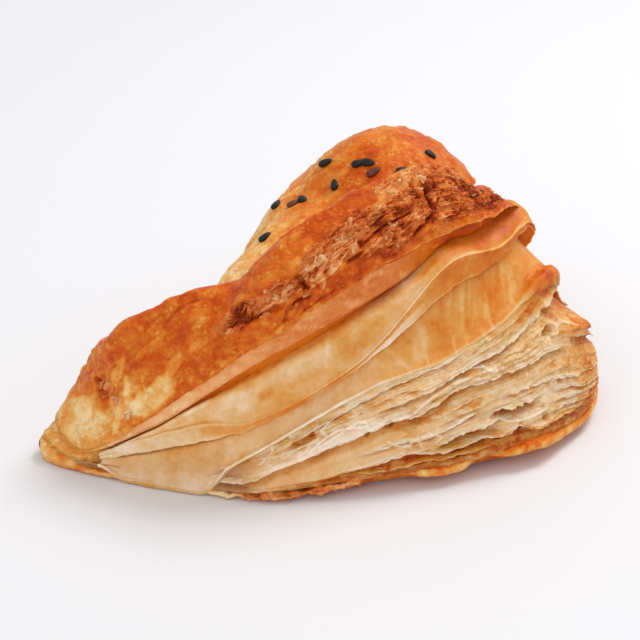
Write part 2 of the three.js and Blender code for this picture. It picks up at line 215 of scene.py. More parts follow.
def section(t):
    """The outline's data at places t, each as a column that broadcasts over a section's rows."""
    s = SimpleNamespace(t=t[:, None])
    for k, name in enumerate(COLUMN_NAMES):
        setattr(s, name, loop_curve(PLACES[:, k], t)[:, None])
    s.open = np.clip(s.open, 0, 1)
    s.lift = np.maximum(s.lift, 0)
    s.reach = np.hypot(DOME.x - s.x, DOME.y - s.y)
    s.in_x = (DOME.x - s.x) / s.reach
    s.in_y = (DOME.y - s.y) / s.reach
    s.cut = step(s.t, FIRST_TIP + 0.9, FIRST_TIP + 1.8)
    s.cut = s.cut * fall(s.t, SECOND_TIP - 0.2, SECOND_TIP + 0.8)
    s.fold = step(s.t, SECOND_TIP + 0.5, SECOND_TIP + 2) * fall(s.t, LAST - 2, LAST - 0.5)
    to_tip = np.minimum(np.minimum(s.t - FIRST_TIP, LAST - s.t), np.abs(s.t - SECOND_TIP))
    s.tip = fall(to_tip, 0, 1.3)
    # The hollow near the first tip, where one smooth sheet shows instead of layers.
    s.hollow = hump(s.t, 1.5, 3.85, 0.35)
    s.low = s.lift + BASE_CRUST
    s.corner = hump(s.t, 7.9, 9.1, 0.55)
    s.behind = hump(s.t, 8.7, 10.5, 0.5)
    s.third_inset = lerp(*THIRD_INSET, s.open) + BEHIND_INSET["third"] * s.behind
    s.lip_inset = lerp(*LIP_INSET, s.open) + BEHIND_INSET["lip"] * s.behind
    s.crust_inset = lerp(*CRUST_INSET, s.open) + BEHIND_INSET["crust"] * s.behind + TIP_STEP * s.tip
    s.ceiling = np.maximum(s.edge - s.band, lerp(s.edge, s.lip, CEILING_LIMIT))
    s.pocket = s.cut * lerp(*POCKET_DEPTH, s.open ** 2) + 0.5 * s.tip
    s.overhang = CORNER_UNDERCUT["sheet"] * s.corner
    s.right = hump(s.t, 5.5, 8.6, 0.3)
    s.third = s.third - 2.2 * hump(s.t, 7.75, 9.0, 0.35)
    return s


def walked(fine, dense=None):
    """The walk along the outline up to each of the fine places, in millimetres times dense(t)."""
    walk = np.hypot(*(np.diff(loop_curve(PLACES[:, k], fine)) for k in (0, 1)))
    if dense:
        walk = walk * dense(0.5 * (fine[1:] + fine[:-1]))
    return np.concatenate([[0], np.cumsum(walk)])


def spaced_places(count, start, end, dense):
    """Places from start to end an equal walk apart, closer where dense(t) is larger."""
    fine = np.linspace(start, end, 6001)
    walk = walked(fine, dense)
    return np.interp(np.linspace(0, walk[-1], count), walk, fine)


def walk_along(t):
    """How far along the outline places t are, in millimetres."""
    fine = np.linspace(0, LAST, 4001)
    return np.interp(t, fine, walked(fine))


def sections_to_points(s, inset, height):
    return triples(s.x + s.in_x * inset, s.y + s.in_y * inset, height)


def fine_rows(keys, counts, corners=()):
    """Key rows (inset, height) joined by smooth curves, with counts[k] steps from row k to k + 1."""
    both = np.stack([np.stack(np.broadcast_arrays(*values), -1)[:, 0] for values in zip(*keys)], -1)
    last = len(keys) - 1
    rows = []
    for k in range(last):
        a = both[:, k]
        b = both[:, k + 1]
        ta = b - a if k == 0 or k in corners else 0.5 * (b - both[:, k - 1])
        tb = b - a if k + 1 == last or k + 1 in corners else 0.5 * (both[:, k + 2] - a)
        # A tangent is never longer than the step it belongs to, so no row overshoots.
        span = np.linalg.norm(b - a, axis=-1, keepdims=True)
        for tangent in (ta, tb):
            size = np.linalg.norm(tangent, axis=-1, keepdims=True)
            tangent *= np.minimum(1, 1.3 * span / np.maximum(size, 1e-6))
        for j in range(counts[k] + (k == last - 1)):
            f = j / counts[k]
            rows.append(
                (2 * f ** 3 - 3 * f ** 2 + 1) * a + (f ** 3 - 2 * f ** 2 + f) * ta
                + (3 * f ** 2 - 2 * f ** 3) * b + (f ** 3 - f ** 2) * tb
            )
    rows = np.stack(rows, 1)
    return rows[..., 0], rows[..., 1]


def row_marks(counts):
    """The row number at which each key row ends up."""
    return np.concatenate([[0], np.cumsum(counts)])


def surface_normals(points, closed):
    """Normals of a grid of points, columns first."""
    if closed:
        along = np.roll(points, -1, 0) - np.roll(points, 1, 0)
    else:
        along = np.gradient(points, axis=0)
    normal = np.cross(along, np.gradient(points, axis=1))
    return normal / np.maximum(np.linalg.norm(normal, axis=-1, keepdims=True), 1e-9)


# ---------------------------------------------------------------- meshes and materials


def grid_faces(columns, rows, closed=False, first=0):
    i = np.arange(columns if closed else columns - 1)[:, None]
    j = np.arange(rows - 1)[None, :]
    a = i * rows + j
    b = ((i + 1) % columns) * rows + j
    return first + np.stack([a, b, b + 1, a + 1], -1).reshape(-1, 4)


def end_fans(columns, rows):
    """Triangles from a round grid's first and last rows to the two points that follow the grid."""
    i = np.arange(columns)
    j = (i + 1) % columns
    first_end = np.full(columns, columns * rows)
    return np.concatenate([
        np.stack([first_end, j * rows, i * rows], -1),
        np.stack([i * rows + rows - 1, j * rows + rows - 1, first_end + 1], -1),
    ])


def make_mesh(name, points, quads, triangles, fields):
    """A smooth mesh from points in the outline's coordinates, with named values at its points."""
    points = (np.asarray(points, float).reshape(-1, 3) - MIDDLE) / 1000
    mesh = bpy.data.meshes.new(name)
    mesh.from_pydata(points.tolist(), [], quads.tolist() + triangles.tolist())
    mesh.shade_smooth()
    mesh.validate()
    for label, values in fields.items():
        field = mesh.attributes.new(label, "FLOAT", "POINT")
        field.data.foreach_set("value", np.asarray(values, np.float32).ravel())
    return mesh


def make_object(mesh, material):
    mesh.materials.append(material)
    thing = bpy.data.objects.new(mesh.name, mesh)
    bpy.context.scene.collection.objects.link(thing)
    return thing


NO_TRIANGLES = np.zeros((0, 3), int)


def make_piece(name, material, slot, points, quads, triangles=NO_TRIANGLES, **fields):
    """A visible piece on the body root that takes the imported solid's place."""
    piece = make_object(make_mesh(name, points, quads, triangles, fields), material)
    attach(piece, "root")
    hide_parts("pastry")


def linear(channel):
    """A screen colour's channel, 0 to 255, as the light it stands for."""
    share = channel / 255
    return share / 12.92 if channel <= 10 else ((share + 0.055) / 1.055) ** 2.4


def srgb(*channels):
    return tuple(linear(channel) for channel in channels) + (1,)


class Nodes:
    """A short way to write a material's nodes."""

    def __init__(self, name):
        self.material = bpy.data.materials.new(name)
        self.material.use_nodes = True
        self.tree = self.material.node_tree
        self.where = self.add("TexCoord", {}).outputs["Object"]

    def fill(self, node, sockets):
        """Links or sets the node's sockets, each by its name or number."""
        for label, value in sockets.items():
            if hasattr(value, "is_output"):
                self.tree.links.new(value, node.inputs[label])
            elif value is not None:
                node.inputs[label].default_value = value

    def add(self, kind, sockets, **settings):
        node = self.tree.nodes.new("ShaderNode" + kind)
        for label, value in settings.items():
            setattr(node, label, value)
        self.fill(node, sockets)
        return node

    def noise(self, scale, detail, rough, stretch=None, turn=0.0):
        """Noise; stretch below 1 makes it longer along X, and turn leans that X upwards."""
        where = self.where
        if stretch:
            lean = (0, math.radians(turn), 0)
            mapping = self.add("Mapping", {"Vector": where, "Scale": (stretch, 1, 1), "Rotation": lean})
            where = mapping.outputs["Vector"]
        sockets = {"Vector": where, "Scale": scale, "Detail": detail, "Roughness": rough}
        return self.add("TexNoise", sockets).outputs["Fac"]

    def cell(self, scale, warp=0.0):
        """Distance to the nearest of scattered points; warp bends the cells, in metres."""
        where = self.where
        if warp:
            cloud = self.add("TexNoise", {"Vector": where, "Scale": 1.2 * scale}).outputs["Color"]
            bend = self.add("VectorMath", {0: cloud, 1: (warp, warp, warp), 2: where},
                            operation="MULTIPLY_ADD")
            where = bend.outputs["Vector"]
        return self.add("TexVoronoi", {"Vector": where, "Scale": scale}).outputs["Distance"]

    def field(self, label):
        return self.add("Attribute", {}, attribute_name=label).outputs["Fac"]

    def math(self, operation, a, b, clamp=False):
        return self.add("Math", {0: a, 1: b}, operation=operation, use_clamp=clamp).outputs[0]

    def plus(self, a, b, clamp=False):
        return self.math("ADD", a, b, clamp)

    def minus(self, a, b, clamp=False):
        return self.math("SUBTRACT", a, b, clamp)

    def times(self, a, b):
        return self.math("MULTIPLY", a, b)

    def spread(self, value, low, high, to_low=0.0, to_high=1.0):
        sockets = {"Value": value, "From Min": low, "From Max": high, "To Min": to_low, "To Max": to_high}
        return self.add("MapRange", sockets).outputs["Result"]

    def sway(self, value, size):
        """A noise turned into a change between -size and size."""
        return self.spread(value, 0.3, 0.7, -size, size)

    def ramp(self, value, stops):
        node = self.add("ValToRGB", {"Fac": value})
        elements = node.color_ramp.elements
        while len(elements) < len(stops):
            elements.new(0.5)
        for element, (position, colour) in zip(elements, stops):
            element.position = position
            element.color = srgb(*colour)
        return node.outputs["Color"]

    def blend(self, share, a, b, kind="MIX"):
        return self.add("Mix", {0: share, 6: a, 7: b}, data_type="RGBA", blend_type=kind).outputs[2]

    def bump(self, height, distance, strength, under=None):
        sockets = {"Height": height, "Distance": distance, "Strength": strength, "Normal": under}
        return self.add("Bump", sockets).outputs["Normal"]

    def finish(self, colour, rough, normal, specular, soak, depth=0.0016):
        """Fills the shader; soak and depth are how much and how far light goes in."""
        self.fill(self.tree.nodes["Principled BSDF"], {
            "Base Color": colour,
            "Roughness": rough,
            "Normal": normal,
            "Specular IOR Level": specular,
            "Subsurface Weight": soak,
            "Subsurface Radius": (1.0, 0.45, 0.18),
            "Subsurface Scale": depth,
        })
        return self.material


CRUST_TONES = [
    (0.0, (250, 218, 160)),
    (0.2, (240, 178, 92)),
    (0.4, (228, 130, 34)),
    (0.58, (210, 86, 0)),
    (0.75, (178, 58, 0)),
    (0.9, (122, 34, 0)),
    (1.0, (66, 16, 0)),
]
SHEET_TONES = [
    (0.0, (251, 231, 207)),
    (0.22, (238, 200, 152)),
    (0.45, (228, 166, 84)),
    (0.65, (220, 126, 28)),
    (0.85, (200, 78, 0)),
    (1.0, (138, 48, 0)),
]
FLAKE_TONES = [
    (0.0, (250, 206, 160)),
    (0.3, (238, 162, 104)),
    (0.5, (220, 122, 56)),
    (0.7, (182, 76, 18)),
    (0.85, (128, 42, 4)),
    (1.0, (70, 20, 2)),
]
RIDGE_TURN = 31.0  # how steeply the ridge climbs along X, in degrees
LAYER_TURN = 16.0


def crust_material():
    n = Nodes("turnover_crust")
    torn = n.field("torn")
    rough_part = n.minus(1.0, n.field("plain"))
    speckle = n.noise(1100, 3, 0.6)
    mottle = n.noise(330, 5, 0.6)
    streaks = n.noise(420, 4, 0.6, stretch=0.35, turn=RIDGE_TURN)
    large = n.times(n.spread(n.cell(430, 0.0022), 0.0, 0.5, 1.0, 0.0),
                    n.spread(n.noise(140, 2, 0.5), 0.48, 0.6))
    small = n.times(n.spread(n.cell(900, 0.0011), 0.0, 0.5, 1.0, 0.0),
                    n.spread(n.noise(230, 2, 0.5), 0.45, 0.58))
    blister = n.times(n.math("MAXIMUM", large, small), n.minus(rough_part, torn, True))
    change = n.plus(n.plus(n.sway(speckle, 0.06), n.sway(mottle, 0.07)), n.sway(streaks, 0.08))
    change = n.minus(change, n.times(blister, 0.24))
    change = n.minus(change, n.spread(n.cell(1500), 0.05, 0.25, 0.07, 0.0))
    change = n.times(change, n.plus(0.25, n.times(rough_part, 0.75)))
    tone = n.plus(n.field("tone"), change, True)
    colour = n.blend(n.times(torn, 0.8), n.ramp(tone, CRUST_TONES), n.ramp(tone, FLAKE_TONES))
    grain = n.bump(speckle, 0.0003, 0.6)
    wrinkled = n.bump(streaks, 0.0009, 0.6, grain)
    bubbled = n.bump(blister, 0.0007, 0.5, wrinkled)
    fine = n.bump(n.times(mottle, rough_part), 0.0012, 0.6, bubbled)
    rough = n.plus(n.spread(torn, 0, 1, 0.30, 0.50), n.spread(mottle, 0.3, 0.7, -0.06, 0.12))
    return n.finish(colour, rough, fine, specular=0.17, soak=0.12, depth=0.0012)


def flake_material():
    n = Nodes("turnover_flakes")
    fibre = n.noise(1100, 5, 0.7, stretch=0.6, turn=RIDGE_TURN)
    tone = n.plus(n.field("tone"), n.sway(fibre, 0.17), True)
    return n.finish(n.ramp(tone, FLAKE_TONES), 0.5, n.bump(fibre, 0.0004, 0.7), specular=0.17, soak=0.15)


def sheet_material():
    n = Nodes("turnover_layers")
    cloud = n.noise(180, 5, 0.6)
    fibre = n.noise(900, 4, 0.65)
    tone = n.plus(n.plus(n.field("tone"), n.sway(cloud, 0.10)), n.sway(fibre, 0.05))
    # Crumbly parts have small pits that run along the layers, painted golden inside as painted shade.
    pits = n.noise(520, 4, 0.62, stretch=0.42, turn=LAYER_TURN)
    pits = n.times(n.spread(pits, 0.50, 0.62), n.field("crumbly"))
    colour = n.ramp(n.plus(tone, n.times(pits, 0.24), True), SHEET_TONES)
    # Painted shade, and real browning: where the dough's shade-and-browning field is set, the colour is
    # multiplied by a warm brown. This paints shade into the recesses, seams and hollows, and browns the
    # dough below the lowest seam.
    deep = n.blend(1.0, colour, srgb(166, 88, 24), "MULTIPLY")
    rugged = n.bump(fibre, 0.0002, 0.4)
    pitted = n.bump(n.minus(1.0, pits), 0.0004, 0.6, rugged)
    soft = n.bump(cloud, 0.0008, 0.35, pitted)
    return n.finish(n.blend(n.field("dim"), colour, deep), 0.5, soft, specular=0.3, soak=0.35, depth=0.0022)


def seed_material(name, dark, light):
    n = Nodes(name)
    colour = n.ramp(n.noise(1400, 4, 0.6), [(0.35, dark), (0.7, light)])
    normal = n.bump(n.noise(2600, 3, 0.6), 0.00008, 0.6)
    return n.finish(colour, 0.46, normal, specular=0.3, soak=0.0)


# ---------------------------------------------------------------- the skin: core, pocket and crust

# Browning of the crust by place and climb, where climb is 0 at the crust's edge and 1 at its crest.
# For each patch: its middle, its reaches along and up, and how much darker or (minus) paler it is.
BROWNING = [
    (0.10, 0.10, 0.35, 0.25, 0.06),
    (0.50, 0.12, 0.40, 0.20, -0.12),
    (0.95, 0.12, 0.42, 0.17, -0.18),
    (1.28, 0.10, 0.42, 0.08, 0.20),
    (1.38, 0.14, 0.56, 0.08, -0.24),
    (0.78, 0.32, 0.26, 0.13, -0.28),
    (1.38, 0.46, 0.10, 0.22, -0.24),
    (1.75, 0.30, 0.18, 0.12, -0.14),
    (2.12, 0.13, 0.42, 0.12, -0.34),
    (2.42, 0.29, 0.15, 0.10, -0.20),
    (2.82, 0.38, 0.19, 0.06, -0.13),
    (2.70, 0.60, 0.16, 0.05, -0.16),
    (1.95, 0.55, 0.30, 0.06, -0.12),
    (2.60, 0.92, 0.12, 0.10, -0.10),
    (3.45, 0.26, 0.45, 0.20, 0.06),
    (3.60, 0.44, 0.50, 0.05, 0.06),
    (4.30, 0.12, 0.14, 0.07, 0.08),
    (5.00, 0.62, 0.35, 0.14, -0.06),
    (5.45, 0.50, 0.14, 0.06, 0.20),
    (5.85, 0.66, 0.13, 0.10, 0.30),
    (5.84, 0.34, 0.10, 0.16, 0.14),
    (5.65, 0.30, 0.13, 0.13, -0.08),
    (5.45, 0.86, 0.50, 0.16, -0.18),
    (6.15, 0.38, 0.28, 0.16, -0.06),
    (6.65, 0.62, 0.22, 0.13, 0.26),
    (6.95, 0.34, 0.36, 0.13, 0.16),
    (7.35, 0.26, 0.35, 0.24, 0.12),
    (7.05, 0.86, 0.40, 0.16, 0.10),
]
# Creases in the crust: turning points (place, climb), half width and depth in millimetres.
CREASES = [
    ([(2.0, 0.72), (2.1, 0.80), (2.45, 0.86)], 0.5, 0.35),
    ([(3.45, 0.44), (3.65, 0.30), (3.80, 0.24), (4.05, 0.22), (4.2, 0.20)], 1.0, 0.9),
    ([(4.24, 0.04), (4.25, 0.12), (4.32, 0.16), (4.46, 0.12)], 0.5, 0.6),
    ([(4.30, 0.40), (4.37, 0.30), (4.44, 0.18)], 0.7, 1.0),
    ([(4.86, 0.24), (4.94, 0.22)], 1.1, 1.1),
    ([(4.93, 0.36), (4.97, 0.30), (5.05, 0.33), (5.2, 0.38), (5.35, 0.40), (5.56, 0.40)], 0.7, 1.0),
    ([(5.75, 0.62), (5.80, 0.50), (5.86, 0.38), (5.85, 0.28), (5.75, 0.21), (5.62, 0.13)], 0.9, 1.2),
    ([(6.05, 0.56), (5.95, 0.43), (5.90, 0.28)], 0.5, 0.7),
    ([(5.55, 0.76), (5.60, 0.62), (5.68, 0.54)], 0.7, 0.8),
    ([(6.55, 0.75), (6.75, 0.62), (6.95, 0.50)], 0.7, 0.5),
    ([(0.86, 0.60), (0.95, 0.57)], 0.9, 1.1),
    ([(1.00, 0.50), (1.18, 0.42), (1.42, 0.22)], 0.6, 0.9),
    ([(4.40, 0.03), (4.55, 0.05), (4.75, 0.03), (4.95, 0.012)], 0.35, 0.8),
]
# Pale lines where the skin is torn or folded: turning points (place, climb), half width.
PALE_LINES = [
    ([(1.60, 0.40), (1.66, 0.30), (1.70, 0.20)], 0.9),
    ([(1.52, 0.24), (1.56, 0.14), (1.52, 0.06)], 1.2),
    ([(1.15, 0.30), (1.35, 0.24), (1.50, 0.22)], 0.6),
    ([(1.02, 0.36), (1.14, 0.30), (1.28, 0.22), (1.42, 0.15)], 0.9),
    ([(0.66, 0.30), (0.72, 0.16), (0.95, 0.05)], 0.5),
    ([(4.08, 0.00), (4.16, 0.02), (4.22, 0.05)], 0.9),
    ([(3.95, 0.00), (4.03, 0.02)], 0.6),
    ([(3.20, 0.00), (3.23, 0.04)], 0.5),
]
# Bands where the top skin has flaked: turning points (place, climb), half width as a climb, how
# torn the skin is, how many flakes stand up from it, and how brown they are.
FLAKED = [
    ([(3.40, 0.42), (3.8, 0.33), (4.05, 0.33), (4.25, 0.31), (4.45, 0.31)], 0.12, 1.0, 44, 0.54),
    ([(4.45, 0.34), (4.62, 0.36), (4.75, 0.42), (4.9, 0.48)], 0.16, 1.0, 34, 0.42),
    ([(4.55, 0.52), (4.85, 0.60), (5.15, 0.56), (5.5, 0.60), (5.9, 0.70)], 0.15, 0.8, 22, 0.50),
    ([(5.30, 0.30), (5.75, 0.50), (6.2, 0.40), (6.6, 0.42), (7.1, 0.50), (7.6, 0.55)], 0.32, 0.7, 24, 0.56),
    ([(5.05, 0.20), (5.25, 0.24), (5.45, 0.15)], 0.10, 0.9, 10, 0.46),
    ([(5.2, 0.82), (5.6, 0.86), (6.1, 0.84), (6.7, 0.84)], 0.12, 0.7, 12, 0.44),
    ([(6.5, 0.85), (6.9, 0.78), (7.3, 0.70)], 0.16, 0.8, 14, 0.62),
    ([(1.03, 0.55), (1.25, 0.44), (1.50, 0.24)], 0.045, 0.8, 8, 0.45),
    ([(1.52, 0.20), (1.70, 0.10)], 0.05, 0.4, 3, 0.10),
]
CLIMBS = (0.0, 0.12, 0.36, 0.66, 1.0)  # the climbs of the crust's key rows
CRUST_LENGTH = 33.0  # about how long the climb from the crust's edge to its crest is


def path_away(across, up, turns):
    """Distance from points to the line through its turning points, in millimetres."""
    away = np.full(np.broadcast(across, up).shape, 99.0)
    spots = [(walk_along(place), climb * CRUST_LENGTH) for place, climb in turns]
    for (x0, y0), (x1, y1) in zip(spots, spots[1:]):
        x = across - x0
        y = up - y0
        run_x = x1 - x0
        run_y = y1 - y0
        f = np.clip((x * run_x + y * run_y) / (run_x ** 2 + run_y ** 2), 0, 1)
        away = np.minimum(away, np.hypot(x - f * run_x, y - f * run_y))
    return away


def patches(changes, across, up, spread, full, soft):
    """The summed change of soft round patches: middle, reaches along and up, and change of each."""
    total = 0
    for place, middle, along, tall, change in changes:
        away = np.hypot((across - place) / along, (up - middle) / tall) + spread
        total = total + change * step(full - away, 0, soft)
    return total


def front_weight(t):
    """Columns stand closest on the first leg and round the square corner."""
    return 1 + 2.6 * fall(t, 8.8, 9.8) + 1.9 * step(t, 18.3, 18.9)


def crust_keys(s, ragged, droop):
    """Key rows of the skin, their steps, and the key at the crust's edge."""
    crust_inset = s.crust_inset + ragged
    edge = s.edge + droop
    setback = s.cut * 6.5
    keys = [
        (0.5 * s.reach, 0 * s.t),
        (FLAT_INSET, 0 * s.t),
        (0.7 + setback, s.lift + 0.1),
        (setback - 0.2 * (1 - s.cut), s.low),
        (s.third_inset * 0.3 + setback, lerp(s.low, s.third, 0.5)),
        (s.third_inset + setback, s.third),
        (lerp(s.third_inset, s.lip_inset, 0.5) + setback + 0.7 * s.overhang,
         lerp(s.third, s.lip - s.face, 0.5)),
        (s.lip_inset + 0.9 * setback + s.overhang, s.lip - s.face * s.cut - 1.0 * s.cut),
        (lerp(s.lip_inset, crust_inset, 0.8) + 1.02 * s.pocket + 0.4 * s.cut,
         lerp(s.lip, s.ceiling, 0.7)),
        (crust_inset + s.pocket, lerp(s.lip, s.ceiling, 0.86)),
        (crust_inset + 0.55 * s.pocket, s.ceiling),
        (crust_inset + 1.1 * s.cut + 1.2 * s.right, s.ceiling + 0.1 * s.cut),
        (crust_inset + 0.55 * s.cut + 1.3 * s.right, lerp(s.ceiling, edge, 0.25)),
        (crust_inset + 0.5 * s.cut + 1.1 * s.right, lerp(s.ceiling, edge, 0.8)),
        (crust_inset + 0.1 * s.cut + 0.25 * s.right, edge - 0.3 * s.cut),
        (crust_inset, edge),
    ]
    counts = [1, 1, 1, 2, 2, 2, 2, 2, 2, 3, 3, 3, 5, 3, 2]
    edge_key = len(keys) - 1
    for share in CLIMBS[1:-1]:
        swell = CRUST_BULGE * math.sin(math.pi * share) * s.cut * (1 - 1.1 * hump(s.t, 7.5, 8.6, 0.5))
        keys.append((
            lerp(crust_inset, s.crest_inset, share - 0.2 * share * (1 - share)) - 0.7 * swell,
            lerp(edge, s.crest, share ** 0.85) + 0.5 * swell,
        ))
    counts += [9, 14, 16, 15]
    keys.append((s.crest_inset, s.crest))
    keys.append((lerp(s.crest_inset, s.dip_inset, 0.5), lerp(s.crest, s.dip, 0.42)))
    keys.append((s.dip_inset, s.dip))
    counts += [11, 9]
    cap_inset = s.reach - DOME_RINGS[0]
    cap_height = DOME.height - DOME_FALL * DOME_RINGS[0] ** 2
    for share in (0.3, 0.65):
        climbed = 1 - (1 - share) ** FLANK_CURVE
        keys.append((lerp(s.dip_inset, cap_inset, share), lerp(s.dip, cap_height, climbed)))
    counts += [7, 6]
    for away in DOME_RINGS + (0.4,):
        keys.append((s.reach - away, DOME.height - DOME_FALL * away * away + 0 * s.t))
    counts += [8, 6, 5, 3, 2]
    for k, (inset, height) in enumerate(keys[:-5]):
        climbed = np.clip(height / s.crest, 0, 1)
        keys[k] = (inset - s.fold * FOLD_BULGE * np.sin(np.pi * climbed), height)
    return keys, counts, edge_key


def crust_grid():
    """The skin's smooth form as a grid of points, with each point's row, climb and walk."""
    t = spaced_places(CRUST_COLUMNS + 1, 0, LAST, front_weight)[:-1]
    s = section(t)
    ragged = 0.45 * line_noise(s.t, 5.5, 61, 3) * s.cut
    droop = 0.9 * line_noise(s.t, 3.1, 62, 3) * s.cut
    keys, counts, edge_key = crust_keys(s, ragged, droop)
    inset, height = fine_rows(keys, counts, corners=(edge_key,))
    marks = row_marks(counts)
    points = sections_to_points(s, inset, height)
    row = np.arange(inset.shape[1])[None, :] + 0 * s.t
    climb_rows = marks[edge_key:edge_key + len(CLIMBS)]
    climb = np.interp(row, climb_rows, CLIMBS)
    crest_row = climb_rows[-1]
    # How far a row is on the crust, and where its front is: the cut legs and the first tip.
    on_crust = step(row, marks[edge_key] - 1, marks[edge_key] + 5)
    near_tip = fall(np.minimum(s.t, LAST - s.t), 0.9, 1.8)
    front = on_crust * np.maximum(s.cut, near_tip) * fall(row, crest_row + 4, crest_row + 12)
    return SimpleNamespace(
        s=s, t=t, points=points, normal=surface_normals(points, True), height=height, row=row,
        climb_rows=climb_rows, climb=climb, up=climb * CRUST_LENGTH, walk=walk_along(s.t),
        strip_row=marks[edge_key - 4], edge_row=marks[edge_key], crest_row=crest_row,
        dip_row=marks[edge_key + 6], on_crust=on_crust, near_tip=near_tip, front=front,
    )


def raise_crust(g):
    """Raises the bubbles and wrinkles of the crust and sinks its creases and torn bands."""
    s = g.s
    g.lumps = fbm(g.points, 13.0, 3, 3)
    g.swells = fbm(g.points * (0.6, 1.0, 1.1), 5.5, 4, 3)
    bent = 0.5 * g.swells[..., None]
    near = cell_distance(g.points, 5.2, 21)
    g.bubbles = step(0.62 - near, 0, 0.5) * step(noise(g.points, 12, 22), -0.1, 0.5)
    near = cell_distance(g.points + bent, 2.3, 23)
    g.small_bubbles = step(0.62 - near, 0, 0.4) * step(noise(g.points, 8, 24), -0.25, 0.35)
    g.wrinkles = ridges(g.points * (0.5, 0.9, 1.2) + 1.2 * bent, 3.6, 31) - 0.7
    warp = 0.5 * fbm(g.points, 5.0, 45, 4)
    g.warp = warp
    g.torn = g.front * np.maximum.reduce([
        strength * step(1.05 - path_away(g.walk, g.up, turns) / (reach * CRUST_LENGTH) + warp, 0, 0.4)
        for turns, reach, strength, _, _ in FLAKED
    ])
    g.crease = g.front * np.maximum.reduce([
        depth * fall(path_away(g.walk + 1.2 * warp, g.up + 1.6 * warp, turns), 0.25 * half, 1.2 * half)
        for turns, half, depth in CREASES
    ])
    g.scar = g.front * np.maximum.reduce([
        fall(path_away(g.walk + 0.8 * warp, g.up + 1.0 * warp, turns), 0.3 * half, 1.2 * half)
        for turns, half in PALE_LINES
    ])
    on_crest = step(g.climb, 0.6, 1.0) * fall(g.row, g.crest_row + 3, g.crest_row + 14)
    lift = (
        0.42 * g.lumps
        - 0.35
        + 0.35 * g.swells
        + 0.5 * g.bubbles
        + 0.36 * g.small_bubbles
        + 0.12 * fbm(g.points, 1.8, 25, 2)
        + 0.5 * g.wrinkles
        - 0.55 * g.torn
        + 0.5 * g.scar
        - g.crease
        + (1.5 * bell(s.t - 1.2, 0.28) - 0.4 * bell(s.t - 2.2, 0.4)) * on_crest
    )
    # On the cut legs nothing below the crust's edge is raised, and on the folded side all but its foot.
    on_wall = (1 - s.cut) * step(g.height, 0.0, 2.5)
    g.points = g.points + g.normal * (np.maximum(g.on_crust, on_wall) * lift)[..., None]


def brown_crust(g):
    """The browning of the crust, from 0 for pale to 1 for dark."""
    s = g.s
    tone = 0.545 + 0.03 * g.lumps - 0.04 * g.swells + 0.08 * fbm(g.points * (0.7, 1, 1), 2.4, 71, 4)
    tone += 0.07 * step(g.climb, 0.55, 0.95) * step(s.t, 1.0, 3.0) * fall(s.t, 14, 15)
    spread = 0.35 * fbm(g.points, 3.2, 46, 4)
    tone += g.front * patches(BROWNING, s.t, g.climb, spread, 1.15, 0.45)
    # The first tip's nose is golden and set off by a thin pale line.
    x = g.points[..., 0]
    off_line = x - 0.35 * (g.height - 8) + 55.2 + 0.8 * g.warp
    nose_line = fall(np.abs(off_line), 0.15, 0.75) * g.near_tip * fall(g.height, 15, 19)
    golden_tip = step(-x, 36, 45) * fall(g.height + 4 * spread, 12, 19)
    tone = lerp(tone, 0.24 + 0.6 * (tone - 0.545), 0.85 * golden_tip)
    # The dome is paler, most of all on its left flank.
    tone -= 0.07 * step(g.row, g.dip_row - 6, g.dip_row + 8)
    tone -= 0.30 * step(x, 0, -17) * step(g.row, g.dip_row - 14, g.dip_row)
    # Creases are darkened: painted shade in them.
    tone += 0.26 * g.crease
    tone = lerp(tone, 0.10, np.maximum((0.8 - 0.4 * g.near_tip) * g.scar, 0.64 * nose_line))
    tone -= 0.13 * g.small_bubbles + 0.05 * g.bubbles + 0.10 * g.wrinkles
    tone -= 0.22 * s.fold * fall(g.height, 4, 20)
    # Towards its edge the crust turns pale, in a ragged line with tongues that reach up.
    tongues = 0.1 + 0.9 * line_noise(s.t, 4.0, 82, 3) + 1.8 * np.maximum(line_noise(s.t, 2.1, 83, 2), 0)
    pale_edge = fall(g.up, tongues - 0.4, tongues + 0.6) * g.on_crust * s.cut
    pale_edge = pale_edge * (1 - 0.8 * hump(s.t, 4.0, 7.6, 0.4))
    tone += 0.13 * hump(s.t, 4.1, 5.9, 0.4) * fall(g.climb, 0.12, 0.26) * g.on_crust
    return lerp(tone, 0.30 + 0.14 * s.open + 0.06 * g.swells, 0.85 * pale_edge)


